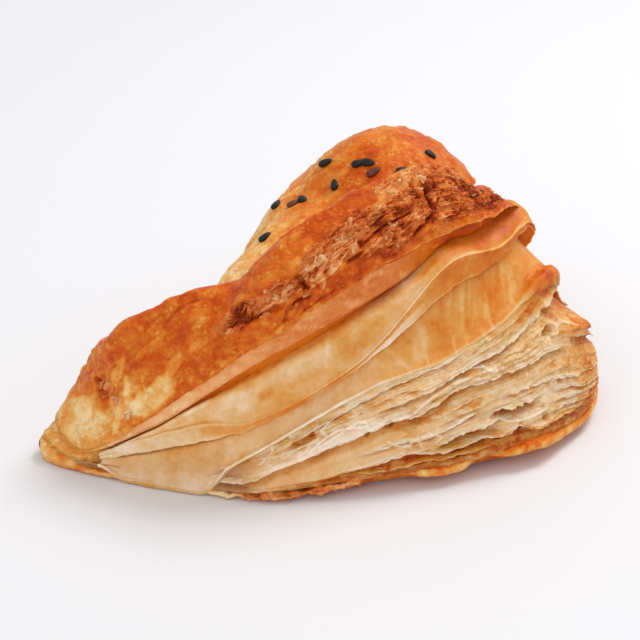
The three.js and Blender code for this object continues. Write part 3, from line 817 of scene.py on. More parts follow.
def crust_skin(material):
    """The core, the pocket and the crust as one closed skin, with the grid that others lie on."""
    g = crust_grid()
    raise_crust(g)
    s = g.s
    # The unbrowned strip below the crust's edge, and the pocket and the core below that.
    strip = hump(g.row, g.strip_row, g.edge_row - 0.5, 0.6) * s.cut
    inner = fall(g.row, g.strip_row - 1, g.strip_row) * s.cut
    streaks = fbm(triples(g.walk / 6.0, g.height / 1.3, 0), 1.0, 84, 4)
    folds = ridges(triples(g.walk / 5.0, g.height / 2.2, 0), 1.0, 85, 4)
    strip_tone = 0.16 + 0.14 * step(s.t, 2.4, 3.6) + 0.18 * step(s.t, 3.8, 4.8) + 0.20 * step(s.t, 5.7, 6.2)
    strip_tone = strip_tone + 0.12 * streaks - 0.22 * step(folds, 0.74, 0.95)
    tone = lerp(brown_crust(g), strip_tone, strip)
    tone = lerp(tone, 0.42 + 0.12 * s.open, inner)
    # From the middle of the first leg on, the edge is marked by a painted highlight along its rim and a
    # painted shadow line just under it, where the crust overhangs the strip.
    along = s.cut * step(s.t, 4.9, 5.4) * fall(s.t, 9, 10)
    tone -= 0.16 * along * hump(g.row, g.edge_row - 0.5, g.edge_row + 1.0, 0.6)
    tone += 0.34 * along * hump(g.row, g.edge_row - 2.5, g.edge_row - 1.0, 0.5)
    g.tone = tone
    smooth_strip = step(s.t, 5.2, 5.8)
    torn = g.torn * (1 - strip) * (1 - inner) + 0.9 * strip * (1 - smooth_strip)
    plain = np.clip((0.35 + 0.65 * smooth_strip) * strip + inner, 0, 1)
    columns, rows = g.row.shape
    ends = [(DOME.x, DOME.y, 0.0), (DOME.x, DOME.y, DOME.height)]
    points = np.concatenate([g.points.reshape(-1, 3), ends])
    quads = grid_faces(columns, rows, closed=True)
    make_piece("turnover_crust", material, "crust", points, quads, end_fans(columns, rows),
               tone=np.append(np.clip(tone, 0, 1), [0.5, 0.5]), torn=np.append(torn, [0, 0]),
               plain=np.append(plain, [0, 0]))
    g.tree = BVHTree.FromPolygons(points.tolist(), quads.tolist())
    return g


def torn_cover(skin, material):
    """The flaked parts of the crust: paper-thin skins torn back in steps, wrinkled and crumbly."""
    across = np.arange(walk_along(3.3), walk_along(7.9), 0.135)[:, None]
    up = np.arange(0.5, CRUST_LENGTH, 0.145)[None, :]
    column = np.interp(across, skin.walk[:, 0], np.arange(len(skin.t))) + 0 * up
    row = np.interp(up / CRUST_LENGTH, CLIMBS, skin.climb_rows) + 0 * across
    across, up = np.broadcast_arrays(across, up)
    i = column.astype(int)
    j = row.astype(int)
    share_i = (column - i)[..., None]
    share_j = (row - j)[..., None]
    points, normal, tone = (
        lerp(lerp(grid[i, j], grid[i + 1, j], share_i),
             lerp(grid[i, j + 1], grid[i + 1, j + 1], share_i), share_j)
        for grid in (skin.points, skin.normal, skin.tone[..., None])
    )
    flat = triples(across, up, 0)
    warp = 0.5 * fbm(flat + 40, 5.0, 201, 5, 0.6)
    mask = np.zeros(up.shape)
    brown = np.full(up.shape, 0.5)
    for turns, reach, strength, _, shade in FLAKED:
        away = path_away(across, up, turns) / (reach * CRUST_LENGTH)
        cover = step(1.05 - away + warp, 0.0, 0.45) * strength
        brown = np.where(cover > mask, shade, brown)
        mask = np.maximum(mask, cover)
    bend = 1.6 * fbm(flat, 4.5, 202, 4)
    flow = triples(0.85 * across + bend, up + 0.9 * bend, 0.4 * bend)
    wrinkle = ridges(flow, 2.5, 204, 2) - 0.74
    pleats = ridges(flow + 11, 1.15, 207, 2) - 0.74
    # Torn skins: crisp steps along the contours of a noise.
    steps = 2.6 * (fbm(flow, 3.0, 203, 5, 0.6) + 0.5 * warp)
    level = np.floor(steps)
    within = steps - level
    crumb = fbm(flat, 0.6, 205, 3, 0.65)
    lift = 0.45 + 0.3 * (level + step(within, 0.0, 0.2)) + 2.0 * wrinkle + 0.9 * pleats + 0.2 * crumb
    lift = mask * lift - 0.9 * fall(mask, 0.0, 0.4)
    points = points + normal * lift[..., None]
    rim = bell(within - 0.26, 0.12)
    foot = bell(within, 0.10) + bell(within - 1.0, 0.06)
    # The crests of the wrinkles and pleats and the rim at the top of each torn step are painted paler, and
    # the folds and the foot of each step darker: painted light and shade that follow the relief.
    tone = tone[..., 0] + mask * (
        brown - 0.48 - 0.12 * rim + 0.20 * foot - 0.6 * wrinkle - 0.5 * pleats + 0.14 * crumb
        + 0.16 * fbm(flat, 5.0, 206, 3)
    )
    used = np.flatnonzero(mask > 0.04)
    place = np.full(mask.size, -1)
    place[used] = np.arange(len(used))
    quads = place[grid_faces(*mask.shape)]
    quads = quads[(quads >= 0).all(1)][:, ::-1]
    make_piece("turnover_torn", material, "crust", points.reshape(-1, 3)[used], quads,
               tone=np.clip(tone, 0, 0.86).ravel()[used], torn=mask.ravel()[used])


def flake_piece(skin, material):
    """Small thin curled scraps of the crust that stand up along the flaked bands."""
    rng = np.random.default_rng(23)
    columns, rows = 7, 4
    count = columns * rows
    long = np.linspace(-1, 1, columns)[:, None]
    wide = np.linspace(-1, 1, rows)[None, :]
    # The top's points come first, then the bottom's, and the sides go round their rim.
    grid = grid_faces(columns, rows)
    number = np.arange(count).reshape(columns, rows)
    rim = np.concatenate([number[:-1, 0], number[-1, :-1], number[:0:-1, -1], number[0, :0:-1]])
    ahead_on_rim = np.roll(rim, -1)
    sides = np.stack([rim, ahead_on_rim, ahead_on_rim + count, rim + count], -1)
    shell = np.concatenate([grid[:, ::-1], grid + count, sides])
    points = []
    tones = []
    quads = []
    for turns, reach, _, flakes, brown in FLAKED:
        lengths = np.linspace(0, 1, len(turns))
        places, climbs = zip(*turns)
        for _ in range(flakes):
            f = rng.uniform(0, 1)
            off = reach * rng.normal(0, 0.6)
            place = np.interp(f, lengths, places)
            climb = np.clip(np.interp(f, lengths, climbs) + off, 0.03, 1.0)
            column = int(np.searchsorted(skin.t, place))
            row = int(round(np.interp(climb, CLIMBS, skin.climb_rows)))
            up = skin.normal[column, row]
            ahead = skin.points[column + 2, row] - skin.points[column - 2, row]
            ahead = ahead / np.linalg.norm(ahead)
            across = np.cross(up, ahead)
            turn = rng.normal(0.1, 0.4)
            ahead, across = (
                math.cos(turn) * ahead + math.sin(turn) * across,
                math.cos(turn) * across - math.sin(turn) * ahead,
            )
            length = rng.uniform(0.8, 2.8)
            width = 0.5 + length * rng.uniform(0.14, 0.34)
            curl = rng.uniform(-0.15, 0.35)
            tilt = rng.normal(0, 0.6)
            end = 1 - rng.uniform(0.2, 0.8) * np.abs(long) ** rng.uniform(1.2, 2.6)
            wave = 0.18 * np.sin(4 * long + rng.uniform(0, 6)) * (1 + wide)
            x = 0.5 * length * (long + 0.10 * np.sin(5 * wide + rng.uniform(0, 6)))
            y = 0.5 * width * (wide * end + wave)
            z = curl * long ** 2 + 0.25 * width * tilt * wide + 0.12 * np.sin(3 * long + rng.uniform(0, 6))
            z = z + rng.uniform(-0.2, 0.15)
            thick = rng.uniform(0.08, 0.16)
            bottom = skin.points[column, row] + triples(x, y, z) @ np.array([ahead, across, up])
            quads.append(shell + 2 * count * len(points))
            points.append(np.concatenate([bottom + thick * up, bottom]).reshape(-1, 3))
            # Each flake is paler towards its ends and its raised side, partly its pale torn edge and partly
            # a painted highlight, and its underside is painted 0.1 darker as painted shade.
            tone = brown + rng.normal(0, 0.12) - 0.10 * (wide * np.sign(tilt) + np.abs(long) ** 3)
            tones.append(np.clip([tone, np.clip(tone, 0, 1) + 0.1], 0, 1).ravel())
    make_piece("turnover_flakes", material, "crust", np.concatenate(points), np.concatenate(quads),
               tone=np.concatenate(tones))


# ---------------------------------------------------------------- the sheets on the cut legs


def strip_piece(name, material, slot, s, keys, counts, relief, tone, corners=(), **fields):
    """A sheet along the outline, from key rows, with its relief and its tone given as functions."""
    inset, height = fine_rows(keys, counts, corners)
    points = sections_to_points(s, inset, height)
    marks = row_marks(counts)
    row = np.arange(inset.shape[1])[None, :] + 0 * s.t
    points = points + surface_normals(points, False) * relief(points, row, marks)[..., None]
    fields["tone"] = np.clip(tone(points, row, marks), 0, 1)
    fields = {label: value + 0 * row for label, value in fields.items()}
    make_piece(name, material, slot, points, grid_faces(*row.shape), **fields)


def leg_section():
    """The sections that the sheets on the cut legs share, from the first tip to the second."""
    return section(spaced_places(SHEET_COLUMNS, 1.3, 12.9, lambda t: 1 + 1.6 * fall(t, 9.0, 10.0)))


def sheet_streaks(s, row, first, last, seed):
    """Pale folds that run up a sheet and fan out a little, from 0 to 1."""
    climb = np.clip((row - first) / (last - first), 0, 1)
    fan = s.t + 0.25 * (climb - 0.5) * np.sin(2.1 * s.t + seed)
    return step(ridges(triples(fan * 5.5, climb * 0.8, 0.1 * seed), 1.0, seed, 3), 0.74, 0.93)


# Browning of the lip sheet's top, and painted shade in its dark notch near place 5.8: place, share of the
# way in, reaches, and the change.
LIP_PATCHES = [
    (1.9, 0.30, 0.5, 0.30, -0.10),
    (2.45, 0.35, 0.35, 0.28, 0.10),
    (2.9, 0.75, 0.30, 0.16, -0.16),
    (3.7, 0.45, 0.35, 0.30, -0.14),
    (3.55, 0.25, 0.14, 0.12, 0.14),
    (4.05, 0.40, 0.12, 0.16, 0.16),
    (4.45, 0.55, 0.30, 0.20, -0.08),
    (5.1, 0.30, 0.45, 0.30, 0.10),
    (5.8, 0.70, 0.22, 0.14, 0.16),
    (5.5, 0.90, 0.25, 0.10, -0.14),
]


def lip_sheet(material):
    s = leg_section()
    face = np.maximum(s.face, 0.6)
    wave = 0.4 * line_noise(s.t, 4.5, 101, 4)
    inset = s.lip_inset + 0.8 * wave
    lip = s.lip + 0.5 * line_noise(s.t, 1.8, 102, 2) * s.cut
    under = lip - face
    # Just behind the square corner the sheet rises to the crust and closes the pocket.
    closed = hump(s.t, 7.9, 9.2, 0.35)
    deep = 1.5 * step(s.t, 5.6, 7.2) * (1 - 0.6 * step(s.t, 9, 11)) * (1 - closed)
    pocket = s.pocket * (1 - 0.9 * closed) * (1 - 0.55 * s.right)
    ceiling = lerp(s.ceiling, s.edge + 1.5, closed)
    keys = [
        (inset + 6.5, under - 1.5),
        (inset + 1.5, under - 0.1),
        (inset + 0.45 + 0.5 * wave, under - 0.15 + wave),
        (inset + 0.15 + 0.3 * wave, under + 0.25 + wave),
        (inset + 0.35, lip - 0.5 * face),
        (inset + 0.05, lip - 0.35),
        (inset, lip + 0.1 * wave),
        (inset + 0.35, lip + 0.2),
        (lerp(inset, s.crust_inset, 0.3) + 0.2 + 0.25 * deep, lerp(lip, ceiling, 0.32) - 0.5 * deep),
        (lerp(inset, s.crust_inset, 0.8) + 0.1 * pocket + 0.4 * deep,
         lerp(lip, ceiling, 0.72) - 0.8 * deep),
        (s.crust_inset + pocket + 0.3 * deep + 1.2 * s.right, lerp(lip, ceiling, 0.84 + 0.2 * s.right)),
    ]
    counts = [4, 3, 2, 5, 5, 2, 2, 12, 16, 10]

    def relief(points, row, marks):
        folds = fbm(points * (0.5, 0.8, 1.0), 7.0, 111, 3)
        return 0.5 * step(row, marks[7], marks[7] + 5) * folds + 0.10 * fbm(points, 2.0, 112, 3)

    def tone(points, row, marks):
        front = hump(row, marks[2], marks[6] - 1, 0.8)
        top = step(row, marks[7], marks[8])
        glow = step(s.t, 5.0, 7.5)
        climb = np.clip((row - marks[7]) / (marks[10] - marks[7]), 0, 1)
        spread = 0.4 * fbm(points, 5.0, 115, 4)
        value = 0.40 + 0.12 * fbm(points, 6, 113, 4) + 0.18 * glow
        value += top * patches(LIP_PATCHES, s.t, climb, spread, 1.2, 0.7)
        value -= 0.20 * sheet_streaks(s, row, marks[7], marks[10], 116) * top * (0.4 + 0.6 * glow)
        # Painted shadow of the crust on the top of the sheet, darker towards the ceiling.
        value += 0.22 * top * step(climb + 0.3 * spread, 0.62, 0.95) * (1 - 0.8 * step(s.t, 4.3, 5.2))
        # Right of the middle the pocket glows orange behind the sheet.
        glowing = top * step(climb, 0.05, 0.4) * hump(s.t, 6.0, 8.0, 0.35)
        value = lerp(value, 0.70 + 0.12 * spread, glowing)
        value += 0.14 * front - 0.10 * hump(s.t, 2.0, 3.3, 0.5) * top
        # On the left the face is pale with golden streaks, and the tip is nearly white.
        golden = step(0.5 * wave + 2.2 * spread, -0.2, 0.4) * hump(row, marks[3] + 1, marks[5] - 1, 1.5)
        value = lerp(value, 0.16 + 0.34 * golden, 0.85 * front * fall(s.t, 3.0, 4.0))
        value -= 0.42 * hump(row, marks[2], marks[4], 1.0) * hump(s.t, 5.0, 5.6, 0.2)
        value = lerp(value, 0.06, 0.7 * fall(s.t + spread, 1.5, 1.9))
        rim = hump(row, marks[6] - 0.5, marks[7] - 0.5, 0.7) + hump(row, marks[2] - 0.4, marks[3], 0.6)
        return value - 0.30 * rim * step(s.t, 4.4, 5.2) * (1 - 0.5 * glow)

    strip_piece("turnover_lip", material, "layers", s, keys, counts, relief, tone, corners=(6,))


def third_sheet(material):
    s = leg_section()
    curl = hump(s.t, 7.35, 8.15, 0.3)
    wave = (0.35 + 0.7 * curl) * line_noise(s.t, 5.0, 121, 4)
    # Near the first tip the sheet hangs down over the base crust.
    hangs = hump(s.t, 1.5, 3.3, 0.25)
    third = lerp(s.third + 0.5 * wave * s.cut, 0.55 + 0.3 * wave, hangs)
    inset = lerp(s.third_inset + wave - 1.2 * curl, 0.5 * wave - 0.5, hangs)
    foot = lerp(s.third_inset, inset, hangs)
    hollow = 2.2 * s.cut * (1 - 0.8 * hangs)
    under = s.lip - np.maximum(s.face, 0.6)
    keys = [
        (inset + 6, np.maximum(third - 1.4, 0.3)),
        (inset + 1.0, np.maximum(third - 0.7 - 1.2 * curl, 0.3)),
        (inset + 0.1 - 0.4 * curl, np.maximum(third - 0.3 - 0.4 * curl, 0.25)),
        (inset - 0.2 * curl, third + 0.1 + 1.0 * curl),
        (inset + 0.3 + 0.6 * curl, third + 0.35 + 1.5 * curl),
    ]
    for share, sunk, climbed in ((0.12, 0.7, 0.12), (0.5, 1.0, 0.5), (0.9, 1.0, 0.92)):
        keys.append((lerp(foot, s.lip_inset, share) + sunk * hollow + share * s.overhang,
                     lerp(third, under, climbed)))
    keys.append((s.lip_inset + 5.0 + 0.6 * s.overhang, under + 0.2))
    counts = [3, 3, 2, 2, 5, 20, 16, 6]

    def relief(points, row, marks):
        folds = fbm(points * (0.8, 0.8, 0.45), 6.0, 131, 3)
        return 0.6 * hump(row, marks[5], marks[7], 4) * folds + 0.08 * fbm(points, 2.0, 132, 3)

    def tone(points, row, marks):
        glow = step(s.t, 4.4, 6.2)
        value = 0.26 - 0.05 * hangs + 0.28 * glow + (0.07 + 0.05 * hangs) * fbm(points, 9, 134, 4)
        value -= 0.14 * sheet_streaks(s, row, marks[4], marks[8], 135) * step(s.t, 4.0, 6.0)
        # The top rows, under the lip, are darkened by 0.10 as painted shade.
        value += 0.10 * fbm(points * (1.2, 1.2, 0.3), 3.0, 137, 3) + 0.10 * step(row, marks[6], marks[8])
        rim = hump(row, marks[2] - 0.5, marks[4], 0.8)
        value -= 0.22 * rim * (1 - curl) * (1 - hangs)
        # On the hanging part the rim is golden, and the upper part is darker as painted shade where the
        # sheet faces down.
        value += hangs * (0.20 * rim + 0.10 * step(row, marks[5] + 4, marks[6]))
        brown = curl * fall(row, marks[4] + 2, marks[5] + 7)
        return value + brown * (0.20 + 0.18 * fbm(points, 2.5, 136, 3))

    # The hanging part also gets painted shade through its shade-and-browning field.
    strip_piece("turnover_third", material, "layers", s, keys, counts, relief, tone, dim=0.14 * hangs)


# How far the base crust's rim swings out and in along the first leg: place, millimetres.
BASE_SWINGS = [(0.0, 0.0), (3.9, 0.0), (4.2, 1.0), (4.6, 0.6), (4.95, -0.2), (5.2, -1.7), (5.45, -0.8),
               (5.8, 1.0), (6.05, 0.7), (6.3, -1.4), (6.5, -0.8), (6.85, 1.6), (7.2, 1.9), (7.6, 0.3),
               (9.0, 0.0)]


def base_crust(material):
    s = section(spaced_places(BASE_COLUMNS, 0, LAST, front_weight))
    wave = line_noise(s.t, 3.0, 141, 4)
    fine = line_noise(s.t, 9.0, 142, 3)
    lift = s.lift + 0.35 * (wave + 1) * s.cut
    sunk = 0.9 * lift * fall(s.t, 0.7, 1.3)
    swing = path_at(BASE_SWINGS, s.t)
    lift = lift - sunk + 0.8 * np.maximum(-swing, 0)
    out = -swing + 0.3 * wave + 0.25 * fine - 0.4 * s.tip
    # From the first tip to the middle of the leg the crust is thin, and torn and flaky at the end of that.
    flaky = hump(s.t, 3.5, 5.1, 0.3)
    thin = step(s.t, 0.6, 1.4) * fall(s.t, 4.6, 5.2)
    right = hump(s.t, 5.6, 8.6, 0.4)
    thick = 1.9 + 0.6 * fine - 0.9 * thin + 0.1 * right + sunk + 0.9 * s.tip
    keys = [
        (9.0, 0.02 + 0 * s.t),
        (4.0, 0.3 * lift + 0.02),
        (1.0 + out, lift),
        (0.2 + out, lift + 0.25),
        (out - 0.1, lift + 0.5 * thick),
        (0.25 + out, lift + thick),
        (1.2 + out, lift + thick + 0.1),
        (8.0, s.low + 0.3),
    ]
    counts = [3, 4, 2, 3, 3, 3, 6]

    def relief(points, row, marks):
        sheets = ridges(points * (0.35, 0.35, 1.4), 1.1, 153, 3) - 0.72
        rough = (0.16 + 0.5 * flaky) * fbm(points, 1.6, 151, 3) + 1.6 * flaky * sheets
        return rough * step(points[..., 2], 0.1, 0.6)

    def tone(points, row, marks):
        front = hump(row, marks[3], marks[5] - 0.5, 1.2)
        value = 0.47 - 0.12 * front + 0.22 * fbm(points, 3, 152, 3)
        value += 0.10 * fine - 0.36 * s.hollow - 0.10 * s.tip
        return value + 0.35 * flaky * fbm(points * (0.35, 0.35, 1.4), 1.1, 154, 3)

    strip_piece("turnover_base", material, "crust", s, keys, counts, relief, tone,
                torn=np.clip(0.8 * flaky + 0.25 * thin, 0, 1))


# The seams of the layered face, from the top down. For each: its turning points (place along the
# outline, share of the layered height), how deep and how tall the recess below it is, and how far
# the ragged edge above it stands out. A seam fades out at its ends.
SEAMS = [
    ([(4.2, 0.78), (4.7, 0.87), (5.2, 0.91), (5.6, 0.95), (6.3, 0.975)], 0.9, 0.7, 0.4),
    ([(5.1, 0.715), (5.5, 0.745), (5.8, 0.77), (6.1, 0.825), (6.35, 0.845), (6.65, 0.815),
      (7.0, 0.83), (7.35, 0.83)], 1.9, 1.2, 0.5),
    ([(7.4, 0.85), (7.7, 0.83), (8.0, 0.86), (8.5, 0.86), (9.3, 0.80), (10.2, 0.75), (12.0, 0.70)],
     3.4, 3.2, 0.5),
    ([(3.5, 0.27), (3.9, 0.33), (4.3, 0.43), (4.6, 0.48), (5.0, 0.525), (5.3, 0.57), (5.5, 0.565),
      (5.7, 0.62), (6.0, 0.70), (6.2, 0.705), (6.45, 0.665), (7.0, 0.62), (7.5, 0.58), (7.9, 0.55)],
     2.2, 1.8, 0.5),
    ([(7.8, 0.62), (8.1, 0.60), (8.5, 0.60), (9.2, 0.56), (10.2, 0.50), (12.0, 0.45)], 2.8, 3.0, 0.5),
    ([(4.9, 0.27), (5.2, 0.32), (5.4, 0.35), (5.65, 0.34), (5.85, 0.37), (6.15, 0.43), (6.4, 0.41)],
     1.2, 0.8, 0.5),
    ([(6.6, 0.47), (7.0, 0.44), (7.4, 0.405), (7.6, 0.37), (7.9, 0.345), (8.3, 0.345), (9.0, 0.30),
      (10.3, 0.33), (12.0, 0.30)], 1.0, 0.7, 0.5),
    ([(6.42, 0.37), (6.55, 0.385), (6.75, 0.375), (7.0, 0.345), (7.25, 0.31)], 5.5, 2.2, 0.8),
    ([(7.4, 0.29), (7.7, 0.295), (8.0, 0.25), (8.4, 0.22), (9.0, 0.18), (10.0, 0.22), (12.0, 0.2)],
     1.3, 0.8, 0.4),
    ([(5.72, 0.215), (5.9, 0.26), (6.05, 0.315), (6.3, 0.31), (6.55, 0.30), (6.66, 0.27)],
     5.0, 2.8, 0.8),
    ([(7.35, 0.235), (7.8, 0.225), (8.2, 0.19), (8.8, 0.14), (9.6, 0.12)], 1.2, 0.7, 0.4),
    ([(7.2, 0.165), (7.6, 0.175), (8.1, 0.155), (8.6, 0.115), (9.4, 0.08)], 1.3, 0.7, 0.4),
    ([(4.7, 0.10), (5.1, 0.15), (5.45, 0.205), (5.7, 0.195), (5.85, 0.165), (6.05, 0.17),
      (6.35, 0.205), (6.55, 0.145), (6.7, 0.145), (6.83, 0.195), (7.0, 0.115), (7.2, 0.095),
      (7.6, 0.12), (8.1, 0.11), (8.7, 0.07)], 2.4, 1.6, 0.6),
    ([(4.9, 0.05), (5.3, 0.075), (5.6, 0.11), (5.9, 0.085), (6.3, 0.12), (6.6, 0.10)], 1.3, 0.8, 0.4),
]
BROWN_SEAM = 12  # the dough below this seam is browned
# Round hollows in the face: place, share, reach along and up in millimetres, and depth.
HOLES = [
    (7.50, 0.70, 2.2, 1.5, 2.2),
    (5.29, 0.55, 1.2, 0.9, 2.6),
    (5.06, 0.515, 0.7, 0.6, 1.6),
    (4.45, 0.75, 3.0, 1.6, 1.4),
    (5.42, 0.33, 0.9, 0.5, 1.1),
    (5.70, 0.33, 1.2, 0.5, 1.1),
    (6.20, 0.42, 1.4, 0.6, 1.2),
    (5.90, 0.65, 3.6, 1.3, 1.2),
    (6.85, 0.16, 0.9, 1.2, 2.0),
    (7.28, 0.155, 0.9, 0.7, 1.6),
    (7.60, 0.355, 1.0, 0.5, 1.0),
    (6.30, 0.155, 1.8, 0.7, 1.4),
]
# Thin strands of dough across the hollows: turning points (place, share).
STRANDS = [
    [(4.70, 0.86), (4.62, 0.78), (4.68, 0.68), (4.58, 0.58), (4.52, 0.53)],
    [(4.60, 0.64), (4.78, 0.685), (4.93, 0.64), (5.05, 0.60), (5.12, 0.56)],
    [(4.62, 0.56), (4.72, 0.60), (4.84, 0.64)],
    [(4.87, 0.66), (4.98, 0.69), (5.05, 0.67), (5.06, 0.61)],
    [(4.14, 0.98), (4.17, 0.86), (4.11, 0.76), (4.03, 0.66)],
    [(4.32, 0.99), (4.36, 0.88), (4.33, 0.80)],
    [(4.03, 0.78), (4.16, 0.74), (4.22, 0.69), (4.40, 0.67), (4.60, 0.68)],
    [(5.28, 0.39), (5.35, 0.33), (5.50, 0.31), (5.57, 0.36), (5.62, 0.30)],
    [(5.62, 0.36), (5.72, 0.37), (5.84, 0.33), (5.78, 0.27)],
    [(6.25, 0.83), (6.42, 0.79), (6.50, 0.73), (6.60, 0.70)],
    [(5.55, 0.62), (5.75, 0.715), (6.0, 0.77), (6.2, 0.76), (6.35, 0.71)],
    [(7.36, 0.72), (7.52, 0.745), (7.66, 0.72), (7.64, 0.67), (7.5, 0.66), (7.38, 0.68)],
    [(7.64, 0.70), (7.74, 0.72), (7.9, 0.70), (8.1, 0.66)],
    [(6.60, 0.29), (6.70, 0.255), (6.85, 0.22), (7.1, 0.20), (7.3, 0.22)],
]
# Lines that the thin layers follow, each with its level: the face runs from level 0 to 10.
GUIDES = [
    ([(3.5, 0.03), (4.5, 0.12), (5.0, 0.27), (5.4, 0.34), (6.1, 0.42), (6.7, 0.42), (7.4, 0.40),
      (8.0, 0.35), (9.0, 0.26), (10.5, 0.33), (12.0, 0.33)], 3.4),
    ([(3.5, 0.27), (4.3, 0.43), (5.0, 0.525), (5.5, 0.565), (6.0, 0.69), (6.3, 0.69), (7.0, 0.62),
      (8.0, 0.56), (9.0, 0.54), (10.5, 0.5), (12.0, 0.5)], 6.0),
    ([(3.5, 0.60), (4.4, 0.68), (5.2, 0.72), (5.8, 0.77), (6.2, 0.835), (7.0, 0.825), (8.0, 0.80),
      (9.0, 0.78), (10.5, 0.75), (12.0, 0.75)], 8.0),
]


def path_at(turns, t):
    """A smoothed line through its turning points, read at places t."""
    places, shares = zip(*turns)
    fine = np.linspace(places[0] - 0.4, places[-1] + 0.4, 900)
    reach = max(int(0.07 / (fine[1] - fine[0])), 1)
    window = np.hanning(2 * reach + 3)
    padded = np.pad(np.interp(fine, places, shares), reach + 1, mode="edge")
    smooth = np.convolve(padded, window / window.sum(), "valid")
    return np.interp(t, fine, smooth)


def path_fade(turns, t, soft=0.14):
    return hump(t, turns[0][0] + soft, turns[-1][0] - soft, soft)


def layer_level(s, share):
    """Which thin layer a point of the face belongs to, from 0 at the base crust to 10."""
    heights = [0 * s.t] + [path_at(turns, s.t) for turns, _ in GUIDES] + [1 + 0 * s.t]
    levels = [0.0] + [level for _, level in GUIDES] + [10.0]
    level = np.zeros(share.shape)
    for k in range(len(levels) - 1):
        f = np.clip((share - heights[k]) / (heights[k + 1] - heights[k]), 0, 1)
        level = np.where(share >= heights[k], lerp(levels[k], levels[k + 1], f), level)
    return level


def layer_face(s, share):
    return s.third_inset * share ** lerp(*LAYER_CURVE, s.corner)


def layer_undercut(s, share):
    """How far the layers stand back below the third sheet, round the square corner."""
    return CORNER_UNDERCUT["layers"] * s.corner * hump(share, 0.76, 0.96, 0.07)


def seam_share(k, s):
    """A seam's share of the height at each place, with its raggedness, and the height of a unit."""
    tall = np.maximum(s.third - s.low, 1.0)
    ragged = 0.32 * line_noise(s.t, 3.0, 610 + k, 2) + 0.20 * line_noise(s.t, 11.0, 630 + k, 4)
    return path_at(SEAMS[k][0], s.t) + ragged / tall, tall


def wall_grid():
    """The open face of the dough layers as a grid, with each point's walk, height and layer."""
    places = spaced_places(WALL_COLUMNS, 0.9, 12.95, lambda t: 1 + 2.6 * hump(t, 3.4, 9.4, 0.4))
    s = section(places)
    w = SimpleNamespace(s=s, walk=walk_along(s.t))
    w.share = np.linspace(0, 1, WALL_ROWS)[None, :] + 0 * s.t
    w.height = lerp(s.low - 0.5, s.third + 0.1, w.share)
    w.level = layer_level(s, w.share)
    w.tall = np.maximum(s.third - s.low, 1.0)
    w.crumbs = wall_noise(w, 1.5, w.height / 1.1, 0, 444, 3)
    return w


def wall_noise(w, length, across, third, seed, octaves=1):
    """Noise with swells about `length` long along the face, and 1 wide in the other values."""
    return fbm(triples(w.walk / length, across, third), 1.0, seed, octaves)


def add_layers(w):
    """Soft slabs and thin layers, each of which stands out most at its lower edge."""
    s = w.s
    level = w.level
    w.out = 0.75 * wall_noise(w, 14.0, level / 1.6, 0.5, 441, 2)
    smooth_band = hump(s.t, 3.5, 5.45, 0.35) * hump(level, 1.6, 6.9, 0.5)
    fine_part = (1 - 0.93 * smooth_band) * (1 - 0.85 * s.hollow)
    layer = level * 1.5 + 0.9 * wall_noise(w, 10.0, level / 1.2, 4.5, 442, 3)
    saw = layer - np.floor(layer)
    shown = step(wall_noise(w, 8.0, np.floor(layer) * 3.7, 0, 443), -0.5, 0.3)
    shelf = (1 - saw) ** 1.5 * step(saw, 0.0, 0.10)
    w.out += 0.62 * fine_part * shown * (shelf - 0.4)
    grains = wall_noise(w, 0.9, w.height / 0.55, 0, 445, 3)
    w.out += fine_part * (0.18 * w.crumbs + 0.12 * grains)
    # Hair-thin sheets between the layers.
    hair = level * 4.0 + 1.3 * wall_noise(w, 5.0, level / 0.8, 7.5, 446, 3)
    hair -= np.floor(hair)
    w.out += 0.22 * fine_part * ((1 - hair) ** 1.3 * step(hair, 0.0, 0.16) - 0.4)
    # Painted shade in the hollow near the first tip.
    w.dim = 0.30 * s.hollow * step(s.t, 1.5, 2.0) + 0 * level
    w.white = 0.55 * fine_part * shown * step(shelf, 0.55, 0.9)
    w.white = np.maximum(w.white, 0.55 * fine_part * step(grains, 0.18, 0.45))
    w.white = np.maximum(w.white, 0.6 * fine_part * fall(hair, 0.2, 0.45) * step(hair, 0.04, 0.14))
    # Painted shade just under the jutting edge of each layer and hair-thin sheet, which browns the tone.
    w.dark = 0.22 * fine_part * shown * step(saw, 0.82, 0.97)
    w.dark = np.maximum(w.dark, 0.15 * fine_part * step(hair, 0.86, 0.97))
    w.crumbly = fine_part * shown


def add_seams(w):
    """Each seam: a ragged edge that stands out, and a recess below it that fades out downwards."""
    for k, (turns, depth, reach, frill) in enumerate(SEAMS):
        at_share, _ = seam_share(k, w.s)
        below = (at_share - w.share) * w.tall
        fade = path_fade(turns, w.s.t) * (0.8 + 0.35 * line_noise(w.s.t, 2.2, 650 + k, 2))
        recess = step(below, -0.08, 0.22) * fall(below, 0.25 * reach, 1.35 * reach)
        edge = bell(np.minimum(below + 0.25, 0), 0.5) * fall(below, -0.25, 0.05)
        w.out -= (0.38 + 0.06 * depth) * depth * fade * recess
        w.out += 0.6 * frill * fade * edge
        w.white = np.maximum(w.white, fade * edge)
        # Painted shade in the recess below the seam: a browner tone and a warm darkening.
        w.dark = np.maximum(w.dark, 0.50 * min(depth / 2.3, 1.5) * fade * recess)
        shade = step(below, -0.05, 0.15) * fall(below, 0.6 * reach, 1.5 * reach)
        w.dim = np.maximum(w.dim, 0.55 * min(depth / 4.0, 1.0) * fade * shade)


def add_holes(w):
    for place, share, along, up, depth in HOLES:
        away = np.hypot((w.walk - walk_along(place)) / along, (w.share - share) * w.tall / up)
        dent = fall(away + 0.25 * w.crumbs, 0.55, 1.1)
        w.out -= depth * dent
        # Painted shade in each hollow.
        w.dark = np.maximum(w.dark, 0.45 * dent)


